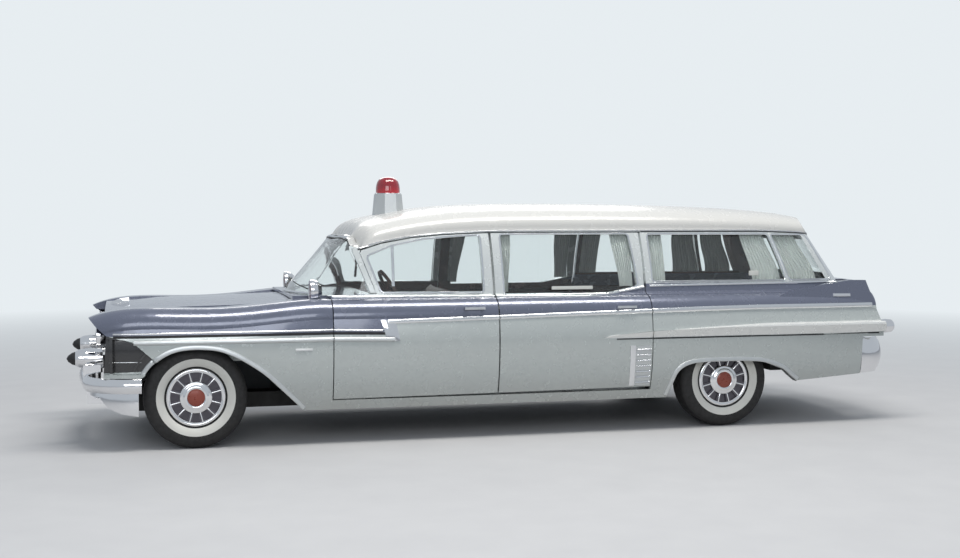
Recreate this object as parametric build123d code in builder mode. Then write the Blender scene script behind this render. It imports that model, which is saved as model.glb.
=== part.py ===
from build123d import *
import os

os.makedirs("parts", exist_ok=True)

# Long-bodied station wagon, millimetres. +X is forward, +Y is left, +Z is up.
# The origin is on the ground, under the middle of the car's overall box.

# Axles and wheels
wheelbase = 3962
front_axle_x = 2278
rear_axle_x = front_axle_x - wheelbase
half_track = 790
kingpin_y = 640
tyre_radius = 356
tyre_width = 215
rim_radius = 197
cover_radius = 206
flange_radius = 212
drum_radius = 150
stub_radius = 30
bearing_clearance = 0.05

# Body walls and gaps
half_length = 3142
rocker_bottom = 245
door_bottom = 325
belt_z = 1040
quarter_sill_z = 1100
drip_z = 1505
lower_wall = 70
upper_wall = 44
quarter_wall = 60
fender_skin = 34
pillar_wall = 46
panel_gap = 7
frame_gap = 19
glass_thickness = 6
glass_fit = 0.3

# Seams between the panels, along and across the car
cowl_seam_x = 1338
door_seam_x = 135
quarter_seam_x = -1047
hood_rear_x = 1590
hood_front_x = 2880
hood_half_width = 655
tail_seam_y = 560

# Floor and frame
floor_plate = 30
load_floor_z = 620
rail_y = 400
rail_width = 80
rail_height = 110
rail_bottom = 215
rail_top = rail_bottom + rail_height
floor_top = rail_top + floor_plate


def save(shape, name):
    """Label a finished piece and write it."""
    shape.label = name
    export_step(shape, "parts/" + name + ".step")


def mirrored(shape):
    """The same shape on the other side of the car."""
    return shape.mirror(Plane.XZ)


def side_prism(points, low_y, high_y):
    """A side outline, given as x and z, pushed across the car from one y to another."""
    with BuildPart() as block:
        with BuildSketch(Plane.XZ.offset(-low_y)):
            with BuildLine():
                Polyline(*points, close=True)
            make_face()
        extrude(amount=low_y - high_y)
    return block.part


def plan_prism(points, low_z, high_z):
    """A plan outline, given as x and y, raised from one height to another."""
    with BuildPart() as block:
        with BuildSketch(Plane.XY.offset(low_z)):
            with BuildLine():
                Polyline(*points, close=True)
            make_face()
        extrude(amount=high_z - low_z)
    return block.part


def front_prism(points, low_x, high_x):
    """An outline seen from the front, given as y and z, pushed along the car."""
    with BuildPart() as block:
        with BuildSketch(Plane.YZ.offset(low_x)):
            with BuildLine():
                Polyline(*points, close=True)
            make_face()
        extrude(amount=high_x - low_x)
    return block.part


def box(low_x, high_x, low_y, high_y, low_z, high_z):
    """A block given by its two corners."""
    corners = [(low_x, low_y), (high_x, low_y), (high_x, high_y), (low_x, high_y)]
    return plan_prism(corners, low_z, high_z)


def cross_rod(x, z, radius, low_y, high_y):
    """A round bar across the car."""
    with BuildPart() as rod:
        with BuildSketch(Plane.XZ.offset(-low_y)):
            with Locations((x, z)):
                Circle(radius)
        extrude(amount=low_y - high_y)
    return rod.part


# Body side. Each row: x, width factor, height of the shoulder's top
body_rows = [
    (-3080, 0.955, 1022),
    (-2500, 0.985, 1022),
    (-1200, 1.0, 1022),
    (400, 1.0, 1022),
    (1345, 0.985, 1022),
]
fender_rows = [
    (1330, 0.985, 1020),
    (1900, 0.975, 983),
    (2500, 0.945, 974),
    (2830, 0.900, 957),
    (3000, 0.840, 905),
]
side_core_y = 300


def side_solid(rows, low_inset, high_inset, roofed):
    """Half of the body, from an inner plane out to its side, lofted through like sections."""
    with BuildPart() as side:
        for x, k, shoulder in rows:
            foot = (925 * k - low_inset, rocker_bottom - 10)
            waist = (1010 * k - low_inset, 600)
            crease = (995 * k - low_inset, shoulder - 137 - low_inset / 5)
            bend = (966 * k - low_inset, shoulder - 48 - low_inset / 3)
            ledge = (885 * k - low_inset, shoulder - low_inset / 2)
            with BuildSketch(Plane.YZ.offset(x)):
                with BuildLine():
                    ThreePointArc(foot, (978 * k - low_inset, 390), waist)
                    ThreePointArc(waist, (1013 * k - low_inset, 745), crease)
                    ThreePointArc(crease, bend, ledge)
                    if roofed:
                        sill = (856 * k - high_inset, belt_z)
                        eave = (712 * k - high_inset, 1480)
                        crest = (703 * k - high_inset, drip_z + 5)
                        Line(ledge, sill)
                        ThreePointArc(sill, (800 * k - high_inset, 1260), eave)
                        Line(eave, crest)
                    else:
                        crest = ledge
                    Polyline(crest, (side_core_y, crest[1]), (side_core_y, foot[1]), foot)
                make_face()
        loft()
    return side.part


side_outer = side_solid(body_rows, 0, 0, True)
door_inner = side_solid(body_rows, lower_wall, upper_wall, True)
quarter_inner = side_solid(body_rows, quarter_wall, upper_wall, True)
pillar_outer = side_solid(body_rows, lower_wall + panel_gap, upper_wall + panel_gap, True)
post_inset = lower_wall + panel_gap + pillar_wall
pillar_inner = side_solid(body_rows, post_inset, upper_wall + panel_gap + pillar_wall, True)
door_wall = side_outer - door_inner
quarter_shell = side_outer - quarter_inner
pillar_shell = pillar_outer - pillar_inner
hinge_reach = panel_gap - glass_fit
hinge_shell = door_inner - side_solid(body_rows, lower_wall + hinge_reach, upper_wall + hinge_reach, True)
hinge_heights = ((430, 500), (800, 870))
hinge_length = 24


def hinge_leaves(seam_x):
    """The leaves at a door's front edge that reach its pillar, less a fit."""
    low_x = seam_x - panel_gap / 2 - hinge_length
    leaves = [hinge_shell & box(low_x, low_x + hinge_length, 500, 1000, *z) for z in hinge_heights]
    return leaves[0] + leaves[1]

fender_outer = side_solid(fender_rows, 0, 0, False)
fender_inner = side_solid(fender_rows, fender_skin, fender_skin, False)

# The drip line, from the windshield corner to the tail: x and z
drip_line = [(1170, 1372), (1092, 1384), (953, 1427), (731, 1466), (506, 1487), (125, 1503)]
drip_line += [(-2070, 1503), (-2417, 1489), (-2560, 1470)]


def along(line, x):
    """The height of a line of x, z points at a given x."""
    points = sorted(line)
    for (x0, z0), (x1, z1) in zip(points, points[1:]):
        if x0 <= x <= x1:
            return z0 + (z1 - z0) * (x - x0) / (x1 - x0)
    return points[0][1] if x < points[0][0] else points[-1][1]


def drip_run(high_x, low_x, drop):
    """Points of the drip line between two places, from front to rear, lowered by a drop."""
    inner = [(x, z - drop) for x, z in drip_line if low_x < x < high_x]
    first = (high_x, along(drip_line, high_x) - drop)
    last = (low_x, along(drip_line, low_x) - drop)
    return [first] + inner + [last]


# Windshield pillar: x of its front, seam and window edges at its foot and at its top
pillar_foot_z = 1060
pillar_head_z = 1372
pillar_front = (1050, 1170)
pillar_seam = (1008, 1120)
pillar_window = (970, 1078)
rail_drop = 20


def lean(edge, z):
    """The x of a leaning pillar edge at a height."""
    share = (z - pillar_foot_z) / (pillar_head_z - pillar_foot_z)
    return edge[0] + (edge[1] - edge[0]) * share


# Front door
front_low_x = door_seam_x + panel_gap / 2 + 3
front_high_x = cowl_seam_x - panel_gap / 2
upper_gap_half = frame_gap / 2
front_top = drip_run(1100, door_seam_x + upper_gap_half, rail_drop)
front_outline = [
    (front_low_x, door_bottom + 3),
    (front_high_x, door_bottom - 5),
    (front_high_x, belt_z),
    (lean(pillar_seam, belt_z + 12), belt_z + 12),
    (lean(pillar_seam, 1340), 1340),
]
front_outline += front_top
front_outline += [(door_seam_x + upper_gap_half, belt_z - 20), (front_low_x, belt_z - 20)]
front_window = [(215, 1058), (lean(pillar_window, 1066), 1066), (lean(pillar_window, 1320), 1320)]
front_window += [(957, 1356), (876, 1388), (661, 1430), (435, 1452), (215, 1466)]

# Rear door
rear_low_x = quarter_seam_x + panel_gap / 2
rear_high_x = door_seam_x - panel_gap / 2
rear_top = drip_run(door_seam_x - upper_gap_half, quarter_seam_x + upper_gap_half, rail_drop)
rear_outline = [
    (rear_low_x, door_bottom + 12),
    (rear_high_x, door_bottom + 3),
    (rear_high_x, belt_z - 20),
    (door_seam_x - upper_gap_half, belt_z - 20),
]
rear_outline += rear_top
rear_outline += [(quarter_seam_x + upper_gap_half, belt_z + 30), (rear_low_x, belt_z + 30)]
rear_window = [(58, 1034), (58, 1468), (-952, 1470), (-985, 1084), (-905, 1064), (-760, 1036)]

# Spear bulge along the rear door and quarter, and its section: y and z
spear_outline = [(-584, 706), (-779, 733), (-1031, 757), (-1416, 766), (-1908, 783), (-3002, 792)]
spear_outline += [(-2996, 712), (-2238, 693), (-1411, 680), (-1027, 684), (-779, 694)]
spear_section = [(960, 660), (1006, 688), (1036, 772), (1034, 786), (1006, 800), (960, 800)]
with BuildPart() as spear_bar:
    with BuildSketch(Plane.YZ.offset(-3010)):
        with BuildLine():
            Polyline(*spear_section, close=True)
        make_face()
    extrude(amount=2500)
spear = spear_bar.part & side_prism(spear_outline, 950, 1050)

# Each door edge keeps an outer lip, and its inner part stands back so that it swings clear
lip = 14
lip_step = 12
lip_core = side_solid(body_rows, lip, lip, True)


def set_back(low_x, top_z):
    """What a panel loses behind the lip of one of its edges."""
    return lip_core & box(low_x, low_x + lip_step, 400, 1000, 200, top_z)


front_door = door_wall & side_prism(front_outline, 200, 1100)
front_door -= set_back(front_low_x, belt_z - 20)
front_door -= side_prism(front_window, 500, 900)
rear_door = (door_wall + (spear - side_outer)) & side_prism(rear_outline, 200, 1100)
rear_door -= side_prism(rear_window, 500, 900)
rear_door -= set_back(rear_high_x - lip_step, belt_z - 20)
rear_door -= set_back(rear_low_x, belt_z + 30)

# Door handles: a bar on two posts, at the rear of each door
handle_z = 945
handle_reach = 34


def handle(low_x, z):
    """A pull handle, 150 mm long, standing out from the door skin."""
    length = 150
    face = 986
    grip = box(low_x, low_x + length, face + handle_reach - 14, face + handle_reach, z - 9, z + 9)
    for x in (low_x + 14, low_x + length - 14):
        grip += box(x - 11, x + 11, face - 16, face + handle_reach - 10, z - 8, z + 8)
    return grip


front_door += handle(247, handle_z + 2) - side_outer
front_door += hinge_leaves(cowl_seam_x)
rear_door += handle(-915, handle_z - 8) - side_outer
rear_door += hinge_leaves(door_seam_x)
save(front_door, "door_front_left")
save(mirrored(front_door), "door_front_right")
save(rear_door, "door_rear_left")
save(mirrored(rear_door), "door_rear_right")


glass_inset = 16
with BuildPart() as front_pane_cut:
    with BuildSketch(Plane.XZ.offset(-400)):
        with BuildLine():
            Polyline(*front_window, close=True)
        make_face()
        offset(amount=-glass_fit, kind=Kind.INTERSECTION)
    extrude(amount=-600)
with BuildPart() as rear_pane_cut:
    with BuildSketch(Plane.XZ.offset(-400)):
        with BuildLine():
            Polyline(*rear_window, close=True)
        make_face()
        offset(amount=-glass_fit, kind=Kind.INTERSECTION)
    extrude(amount=-600)
glass_outer = side_solid(body_rows, lower_wall / 2, glass_inset, True)
glass_inner = side_solid(body_rows, lower_wall / 2, glass_inset + glass_thickness, True)
glass_sheet = glass_outer - glass_inner
front_glass = glass_sheet & front_pane_cut.part
rear_glass = glass_sheet & rear_pane_cut.part
save(front_glass, "glass_front_left")
save(mirrored(front_glass), "glass_front_right")
save(rear_glass, "glass_rear_left")
save(mirrored(rear_glass), "glass_rear_right")

# Windshield: a wrapped shape lofted between its foot on the cowl and its head at the roof
shield_foot_z = 1035
shield_head_z = 1750
header_z = 1462


def shield_solid(inset):
    """All that lies behind the windshield's outer face, pulled in by an inset."""
    rows = [
        (shield_foot_z, 1585, 1470, 520, 1320, 690, 1020, 800),
        (shield_head_z, 1048, 1064, 412, 1014, 554, 1040, 664),
    ]
    with BuildPart() as wrapped:
        for z, nose_x, side_x, side_y, bend_x, bend_y, end_x, end_y in rows:
            side = (side_x - inset, side_y - inset * 0.4)
            bend = (bend_x - inset * 0.8, bend_y - inset * 0.7)
            end = (end_x, end_y - inset)
            with BuildSketch(Plane.XY.offset(z)):
                with BuildLine():
                    ThreePointArc((side[0], -side[1]), (nose_x - inset, 0), side)
                    ThreePointArc(side, bend, end)
                    Polyline(end, (-half_length, end[1]), (-half_length, -end[1]), (end[0], -end[1]))
                    ThreePointArc((end[0], -end[1]), (bend[0], -bend[1]), (side[0], -side[1]))
                make_face()
        loft(ruled=True)
    return wrapped.part


shield_outer = shield_solid(0)
shield_slot = shield_solid(glass_inset) - shield_solid(glass_inset + glass_thickness)
shield_opening = [(0, header_z), (430, header_z), (530, 1438), (600, 1400), (690, 1362), (760, 1330)]
shield_band = [(lean(pillar_front, shield_foot_z) + glass_fit, shield_foot_z + glass_fit)]
shield_band += [(1700, shield_foot_z + glass_fit), (1700, header_z - glass_fit)]
shield_band += [(lean(pillar_front, header_z) + glass_fit, header_z - glass_fit)]
windshield = shield_slot & side_prism(shield_band, -900, 900)

# Tail: flat-curved below the belt, more strongly curved above. Rows: z, x at the middle
tail_low_radius = 3500
tail_high_radius = 1270
tail_ledge_z = 1060
tail_low_rows = [(200, -2995), (quarter_sill_z, -2965)]
tail_high_rows = [(quarter_sill_z, -2940), (1750, -2466)]
tail_reach = 985


def tail_solid(rows, radius, inset):
    """All that lies ahead of the tail's outer face, pulled in by an inset."""
    with BuildPart() as tail:
        for z, x in rows:
            rise = (radius**2 - tail_reach**2) ** 0.5
            corner_x = x + inset + radius - rise
            with BuildSketch(Plane.XY.offset(z)):
                with BuildLine():
                    ThreePointArc((corner_x, tail_reach), (x + inset, 0), (corner_x, -tail_reach))
                    Polyline((corner_x, -tail_reach), (half_length, -tail_reach),
                             (half_length, tail_reach), (corner_x, tail_reach))
                make_face()
        loft(ruled=True)
    return tail.part


tail_wall = 50
tail_low = tail_solid(tail_low_rows, tail_low_radius, 0)
tail_high = tail_solid(tail_high_rows, tail_high_radius, 0)
tail_low_inner = tail_solid(tail_low_rows, tail_low_radius, tail_wall)
tail_high_inner = tail_solid(tail_high_rows, tail_high_radius, tail_wall)
tail_top_z = 1455
tail_bottom_z = 640
tail_gap = 26
tail_free_y = tail_seam_y - 8

low_leaf = tail_low - tail_low_inner
low_leaf &= box(-3100, -2500, -tail_free_y, tail_seam_y - panel_gap, tail_bottom_z, quarter_sill_z)
ledge = tail_low & box(-3100, -2740, -tail_free_y, tail_seam_y - panel_gap, tail_ledge_z,
                       quarter_sill_z)
ledge -= tail_solid([(1000, -2890 + 20), (1200, -2890 + 20)], tail_high_radius, 0)
high_leaf = tail_high - tail_high_inner
high_leaf &= box(-3100, -2300, -tail_seam_y + tail_gap, tail_seam_y - panel_gap,
                 quarter_sill_z, tail_top_z)
tail_window = box(-3100, -2300, -445, 465, 1145, 1420)
tail_door = (low_leaf + ledge + high_leaf) - tail_window
tail_hinge_x = -2968
tail_hinge_y = 566.5
barrel_radius = 9
tail_hinge_heights = ((740, 800), (960, 1020))
for low_z, high_z in tail_hinge_heights:
    with BuildPart() as barrel:
        with BuildSketch(Plane.XY.offset(low_z)):
            with Locations((tail_hinge_x, tail_hinge_y)):
                Circle(barrel_radius)
        extrude(amount=high_z - low_z)
    tail_door += barrel.part
    tail_door += box(tail_hinge_x - 2, tail_hinge_x + 45, 525, tail_hinge_y - 6, low_z, high_z)
save(tail_door, "tail_door")
tail_pane = tail_solid(tail_high_rows, tail_high_radius, glass_inset)
tail_pane -= tail_solid(tail_high_rows, tail_high_radius, glass_inset + glass_thickness)
tail_pane &= box(-3100, -2300, -445 + glass_fit, 465 - glass_fit, 1145 + glass_fit, 1420 - glass_fit)
save(tail_pane, "tail_glass")

# Roof. Each row: x, height of the crown, height where its sides begin to turn in
roof_wall = 28
roof_rows = [
    (1290, 1445, 1318),
    (1190, 1511, 1352),
    (1090, 1563, 1390),
    (970, 1594, 1424),
    (700, 1646, 1470),
    (350, 1689, 1497),
    (-150, 1704, 1508),
    (-900, 1701, 1512),
    (-1600, 1686, 1509),
    (-2150, 1657, 1497),
    (-2640, 1606, 1468),
]


def roof_solid(inset):
    """The roof as a loft of crowned sections, pulled in by an inset."""
    with BuildPart() as crown:
        for x, high, spring in roof_rows:
            w = 712 - 0.36 * (spring - 1480) - inset
            top = high - inset
            turn = spring - inset * 0.3
            rise = top - turn
            shoulder = (0.80 * w, top - 0.22 * rise)
            knee = (0.945 * w, turn + 0.50 * rise)
            foot = (w + 0.36 * (turn - 1300), 1300)
            with BuildSketch(Plane.YZ.offset(x)):
                with BuildLine():
                    Line(foot, (w, turn))
                    ThreePointArc((w, turn), knee, shoulder)
                    ThreePointArc(shoulder, (0, top), (-shoulder[0], shoulder[1]))
                    ThreePointArc((-shoulder[0], shoulder[1]), (-knee[0], knee[1]), (-w, turn))
                    Polyline((-w, turn), (-foot[0], 1300), foot)
                make_face()
        loft()
    return crown.part


roof_outer = roof_solid(0)
roof_inner = roof_solid(roof_wall)
above_drip = side_prism(
    [(1400, along(drip_line, 1400))] + drip_line + [(-2900, along(drip_line, -2900)),
    (-2900, 1800), (1400, 1800)], -900, 900)
roof_panel = (roof_outer & above_drip & shield_outer & tail_high) - roof_inner
save(roof_panel, "roof_panel")

# Front fenders: outlines in x and z
arch_front = [(3000, 200), (3000, 505), (2640, 505), (2623, 518), (2578, 583), (2512, 636), (2446, 671)]
arch_front += [(2380, 689), (2288, 697), (2181, 691), (2114, 679), (2013, 639), (1911, 578)]
arch_front += [(1809, 506), (1706, 406), (1603, 306), (1541, 241), (1500, 200)]
brow_tip = (2987, 911)
fender_low_z = 505
recess_depth = 42
fender_rear_x = cowl_seam_x + panel_gap / 2
fender_outline = [(fender_rear_x, rocker_bottom), (2900, rocker_bottom), (2892, fender_low_z)]
fender_outline += [(2871, 794), (2936, 852), brow_tip, (2900, 1100), (fender_rear_x, 1100)]
recess_outline = [(2760, 768), (2701, 754), (2564, 632), (2500, 560), (2500, 530), (3000, 530)]
recess_outline += [(3000, 780), (2838, 773)]
recess_border = [(2790, 800), (2660, 790), (2480, 640), (2470, 505), (3000, 505), (3000, 800)]
recess_back = side_solid(fender_rows, recess_depth, recess_depth, False)
recess_core = side_solid(fender_rows, recess_depth + fender_skin, recess_depth + fender_skin, False)
recess_zone = side_prism(recess_outline, 640, 1100)
fender_wall = (fender_outer - fender_inner) - (recess_zone - recess_back)
fender_wall += (recess_back - recess_core) & side_prism(recess_border, 640, 1100)
fender_wall &= side_prism(fender_outline, hood_half_width + panel_gap, 1100)
apron_y = 455
apron_plate = 18
apron_foot = 560
apron_top = 905
wheelhouse_radius = 455
lamp_wall_x = 2850
splash_x = 1440
seam_y = hood_half_width + panel_gap
lamp_wall = box(lamp_wall_x - 20, lamp_wall_x, apron_y, seam_y, fender_low_z, apron_top)
lamp_wall += box(lamp_wall_x - 20, lamp_wall_x, seam_y, 1000, fender_low_z, 1000) & fender_outer
rear_splash = box(splash_x, splash_x + 20, apron_y, seam_y, rail_top, apron_top)
rear_splash += box(splash_x, splash_x + 20, seam_y, 1000, rail_top, 1100) & fender_outer
apron = box(splash_x, lamp_wall_x, apron_y, apron_y + apron_plate, apron_foot, apron_top)
with BuildPart() as housing:
    with BuildSketch(Plane.XZ.offset(-apron_y)):
        with Locations((front_axle_x, tyre_radius)):
            Circle(wheelhouse_radius + 12)
            Circle(wheelhouse_radius, mode=Mode.SUBTRACT)
    extrude(amount=-600)
housing_cap = housing.part & fender_outer & box(1700, 2900, apron_y, 1050, apron_foot, apron_top)
cheek = fender_outer & side_prism(fender_outline, seam_y, seam_y + fender_skin)
cheek &= box(lamp_wall_x - 20, 3000, seam_y, seam_y + fender_skin, 878, 1100)
front_fender = fender_wall + lamp_wall + rear_splash + apron + housing_cap + cheek
front_fender -= side_prism(arch_front, apron_y + 60, 1100)
save(front_fender + mirrored(front_fender), "front_fenders")

# Quarter panels with their fins
arch_rear = [(-1191, 200), (-1191, 260), (-1223, 348), (-1255, 437), (-1304, 480), (-1376, 504)]
arch_rear += [(-1506, 512), (-1753, 512), (-1918, 504), (-2002, 487), (-2128, 441), (-2195, 385)]
arch_rear += [(-2262, 335), (-2262, 200)]
bumper_seam_x = -2812
bumper_seam_z = 672
quarter_front_x = quarter_seam_x - panel_gap / 2
upper_front_x = quarter_seam_x - upper_gap_half
quarter_outline = [(quarter_front_x, rocker_bottom), (quarter_front_x, belt_z + 30)]
quarter_outline += [(upper_front_x, belt_z + 30), (upper_front_x, quarter_sill_z)]
quarter_outline += [(-2930, quarter_sill_z), (-2943, 888), (-2987, 777), (-3002, 730)]
quarter_outline += [(-3002, bumper_seam_z), (bumper_seam_x, bumper_seam_z), (bumper_seam_x, 380)]
quarter_outline += [(-2262, 341), (-2262, rocker_bottom)]
quarter_block = side_prism(quarter_outline, 500, 1100)
fin_outline = [(-2050, 960), (-2129, 1000), (-2282, 1042), (-2539, 1084), (-2730, 1110)]
fin_outline += [(-2868, 1108), (-2943, 888)]
fin_section = [(968, 880), (920, 1115), (890, 1115), (836, 1030), (836, 880)]
with BuildPart() as fin_bar:
    with BuildSketch(Plane.YZ.offset(-3010)):
        with BuildLine():
            Polyline(*fin_section, close=True)
        make_face()
    extrude(amount=1000)
fin = fin_bar.part & side_prism(fin_outline, 700, 1100)
tail_plate = (tail_low - tail_low_inner) & side_outer
tail_plate &= box(-3100, -2500, tail_seam_y + 3, 1100, bumper_seam_z, quarter_sill_z)
quarter = (quarter_shell & quarter_block) + ((spear - side_outer) & quarter_block)
quarter -= set_back(quarter_front_x - lip_step, belt_z + 30)
quarter += fin
quarter += tail_plate
quarter -= side_prism(arch_rear, 700, 1100)
quarter_right = mirrored(quarter)
bracket_y = tail_hinge_y + barrel_radius + glass_fit
for low_z, high_z in tail_hinge_heights:
    quarter += box(tail_hinge_x - barrel_radius, tail_hinge_x + 60, bracket_y, bracket_y + 40, low_z, high_z)
save(quarter + quarter_right, "quarter_panels")

# Body frame: pillars, side rails, windshield header and tail pillars
pillar_low_z = belt_z + 20
pillar_high_z = 1352
side_rail_drop = rail_drop - panel_gap
frame_side = [(lean(pillar_seam, pillar_low_z) + panel_gap, pillar_low_z)]
frame_side += [(lean(pillar_seam, pillar_high_z) + panel_gap, pillar_high_z)]
frame_side += drip_run(1100, upper_front_x, side_rail_drop)
frame_side += [(upper_front_x, quarter_sill_z), (-2720, quarter_sill_z)]
frame_side += list(reversed(drip_run(1165, -2560, 0)))
frame_side += [(lean(pillar_front, pillar_high_z), pillar_high_z)]
frame_side += [(lean(pillar_front, pillar_low_z), pillar_low_z)]
quarter_window = [(-1110, 1120), (-1110, 1466), (-2120, 1464), (-2226, 1118)]
small_window = [(-2256, 1118), (-2150, 1464), (-2440, 1458), (-2614, 1118)]
frame_wall = quarter_shell & side_prism(frame_side, 400, 1000) & tail_high
frame_wall -= side_prism(quarter_window, 400, 1000)
frame_wall -= side_prism(small_window, 400, 1000)
post_low = (100, 178)
pillar_foot = pillar_shell & side_prism([
    (lean(pillar_seam, 1035), shield_foot_z), (lean(pillar_seam, 1120), 1120),
    (lean(pillar_front, 1120), 1120), (lean(pillar_front, 1035), shield_foot_z)], 400, 1000)
pillar_tie = (side_outer - pillar_inner) & side_prism([
    (lean(pillar_seam, pillar_low_z) + panel_gap, pillar_low_z),
    (lean(pillar_seam, 1110) + panel_gap, 1110),
    (lean(pillar_front, 1110), 1110), (lean(pillar_front, pillar_low_z), pillar_low_z)], 400, 1000)
door_post = pillar_shell & box(post_low[0], post_low[1], 500, 1000, floor_top, 1482)
rail_tie = (side_outer - pillar_inner) & side_prism(
    drip_run(1050, upper_front_x, 0) + list(reversed(drip_run(1050, upper_front_x, side_rail_drop))),
    400, 1000)
inner_rail = pillar_shell & side_prism(
    drip_run(1050, upper_front_x, 0) + list(reversed(drip_run(1050, upper_front_x, 25))), 400, 1000)
tail_post = (tail_high - tail_high_inner) & side_outer
tail_post &= box(-3000, -2200, tail_seam_y + 3, 900, quarter_sill_z, along(drip_line, -2500))
side_frame = frame_wall + pillar_foot + pillar_tie + door_post + rail_tie + inner_rail + tail_post
header_rim = [(-y, z) for y, z in shield_opening[:0:-1]] + shield_opening
header = (shield_outer - shield_solid(pillar_wall)) & roof_inner & above_drip
header &= front_prism(header_rim + [(760, 1700), (-760, 1700)], 1000, 1500)
tail_header = (tail_high - tail_high_inner) & roof_inner
tail_header &= box(-3000, -2200, -720, 720, tail_top_z + panel_gap, 1640)
body_frame = side_frame + mirrored(side_frame) + header + tail_header
body_frame -= roof_panel
save(body_frame, "body_frame")
windshield -= roof_panel
windshield -= header
save(windshield, "windshield")

# Hood. Each row: x, height at its edges
hood_rows = [(hood_rear_x, 1003), (2000, 981), (2500, 973), (hood_front_x, 947)]
hood_crown = 13
hood_skin = 22
hood_side = hood_half_width


def hood_solid(drop, half_width):
    """The hood's crowned form as a loft, lowered by a drop."""
    with BuildPart() as form:
        for x, edge_z in hood_rows:
            edge = edge_z - 3 - drop
            with BuildSketch(Plane.YZ.offset(x)):
                with BuildLine():
                    ThreePointArc((half_width, edge), (0, edge + hood_crown), (-half_width, edge))
                    Polyline((-half_width, edge), (-half_width, 850), (half_width, 850),
                             (half_width, edge))
                make_face()
        loft(ruled=True)
    return form.part


hood_form = hood_solid(0, hood_side)
hood = hood_form - hood_solid(hood_skin, hood_side - hood_skin)
hood &= box(hood_rear_x, hood_front_x, -hood_side, hood_side, 910, 1100)
hood += hood_form & box(hood_rear_x, hood_rear_x + hood_skin, -hood_side, hood_side, 935, 1100)
hood += hood_form & box(hood_front_x - hood_skin, hood_front_x, -hood_side, hood_side, 915, 1100)
for y in (-430, 430):
    hood += box(hood_rear_x - hinge_reach, hood_rear_x + 8, y - 35, y + 35, 945, 970)
save(hood, "hood")

# Cowl with the firewall, dash and scuttle
cowl_top = shield_foot_z
cowl_plate = 25
firewall_x = 1440
dash_x = 985
dash_depth = 60
scuttle = [(dash_x, -798), (1140, -795), (1334, -782), (1334, -hood_half_width)]
scuttle += [(hood_rear_x - panel_gap, -hood_half_width)]
scuttle += [(x, -y) for x, y in reversed(scuttle)]
cowl = plan_prism(scuttle, cowl_top - cowl_plate, cowl_top)
cowl += box(firewall_x - 20, firewall_x, -hood_half_width, hood_half_width, 470, cowl_top - 5)
for side_sign in (-1, 1):
    low_y, high_y = sorted((side_sign * 100, side_sign * hood_half_width))
    cowl += box(firewall_x - 20, firewall_x, low_y, high_y, floor_top, 471)
cowl += box(dash_x, dash_x + dash_depth, -725, 725, 800, cowl_top - 5)
hinge_post = pillar_shell & box(1210, 1330, 500, 1000, floor_top, 960)
hinge_post += box(1210, 1330, 700, 782, 940, cowl_top - 5)
cowl += hinge_post + mirrored(hinge_post)
for y in (-430, 430):
    cowl += box(hood_rear_x - panel_gap - 22, hood_rear_x - panel_gap, y - 35, y + 35, 940, cowl_top - 5)
save(cowl, "cowl")

# Rocker panels under the doors
rocker_x = (quarter_front_x, fender_rear_x)
sill_low = side_outer & box(rocker_x[0], rocker_x[1], 800, 1100, rocker_bottom, door_bottom - 12)
sill_low += box(rocker_x[0], rocker_x[1], 800, 840, rocker_bottom, rail_top)
save(sill_low + mirrored(sill_low), "rocker_panels")

# Floor: front floor, step, load floor and rear wheelhouses
step_x = -1060
floor_half = 840
well_half = 590
floor = box(step_x, firewall_x, -floor_half, floor_half, rail_top, floor_top)
floor += box(step_x - floor_plate, step_x, -floor_half, floor_half, rail_top, load_floor_z)
floor += box(-2880, step_x, -well_half, well_half, load_floor_z - floor_plate, load_floor_z)
floor += box(-1230, step_x, -floor_half, floor_half, load_floor_z - floor_plate, load_floor_z)
floor += box(-2880, -2150, -floor_half, floor_half, load_floor_z - floor_plate, load_floor_z)
well_radius = 470
with BuildPart() as well:
    with BuildSketch(Plane.XZ.offset(-well_half + 20)):
        with Locations((rear_axle_x, tyre_radius)):
            Circle(well_radius)
            Circle(well_radius - 15, mode=Mode.SUBTRACT)
    extrude(amount=-(floor_half + 20 - well_half))
well_shell = well.part & box(-2300, -1100, 500, 950, load_floor_z - floor_plate, 900)
well_side = cross_rod(rear_axle_x, tyre_radius, well_radius, well_half - 20, well_half)
well_side &= box(-2300, -1100, 500, 950, load_floor_z - floor_plate, 900)
well_shell += well_side
floor += well_shell
floor += mirrored(well_shell)
floor &= tail_low_inner
tunnel_half = 80
tunnel_top = 450
tunnel_plate = 15
floor -= box(step_x - floor_plate, firewall_x, -tunnel_half, tunnel_half, rail_top, tunnel_top)
tunnel = box(step_x, firewall_x, -tunnel_half - tunnel_plate, tunnel_half + tunnel_plate, rail_top,
             tunnel_top + tunnel_plate)
tunnel -= box(step_x, firewall_x, -tunnel_half, tunnel_half, rail_top, tunnel_top)
floor += tunnel
valance = (tail_low - tail_low_inner) & box(-3100, -2500, -tail_seam_y, tail_seam_y, 570,
                                            tail_bottom_z - panel_gap)
floor += valance
floor += box(-2960, -2860, -tail_seam_y, tail_seam_y, load_floor_z - floor_plate, load_floor_z) & tail_low
save(floor, "floor_pan")

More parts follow.
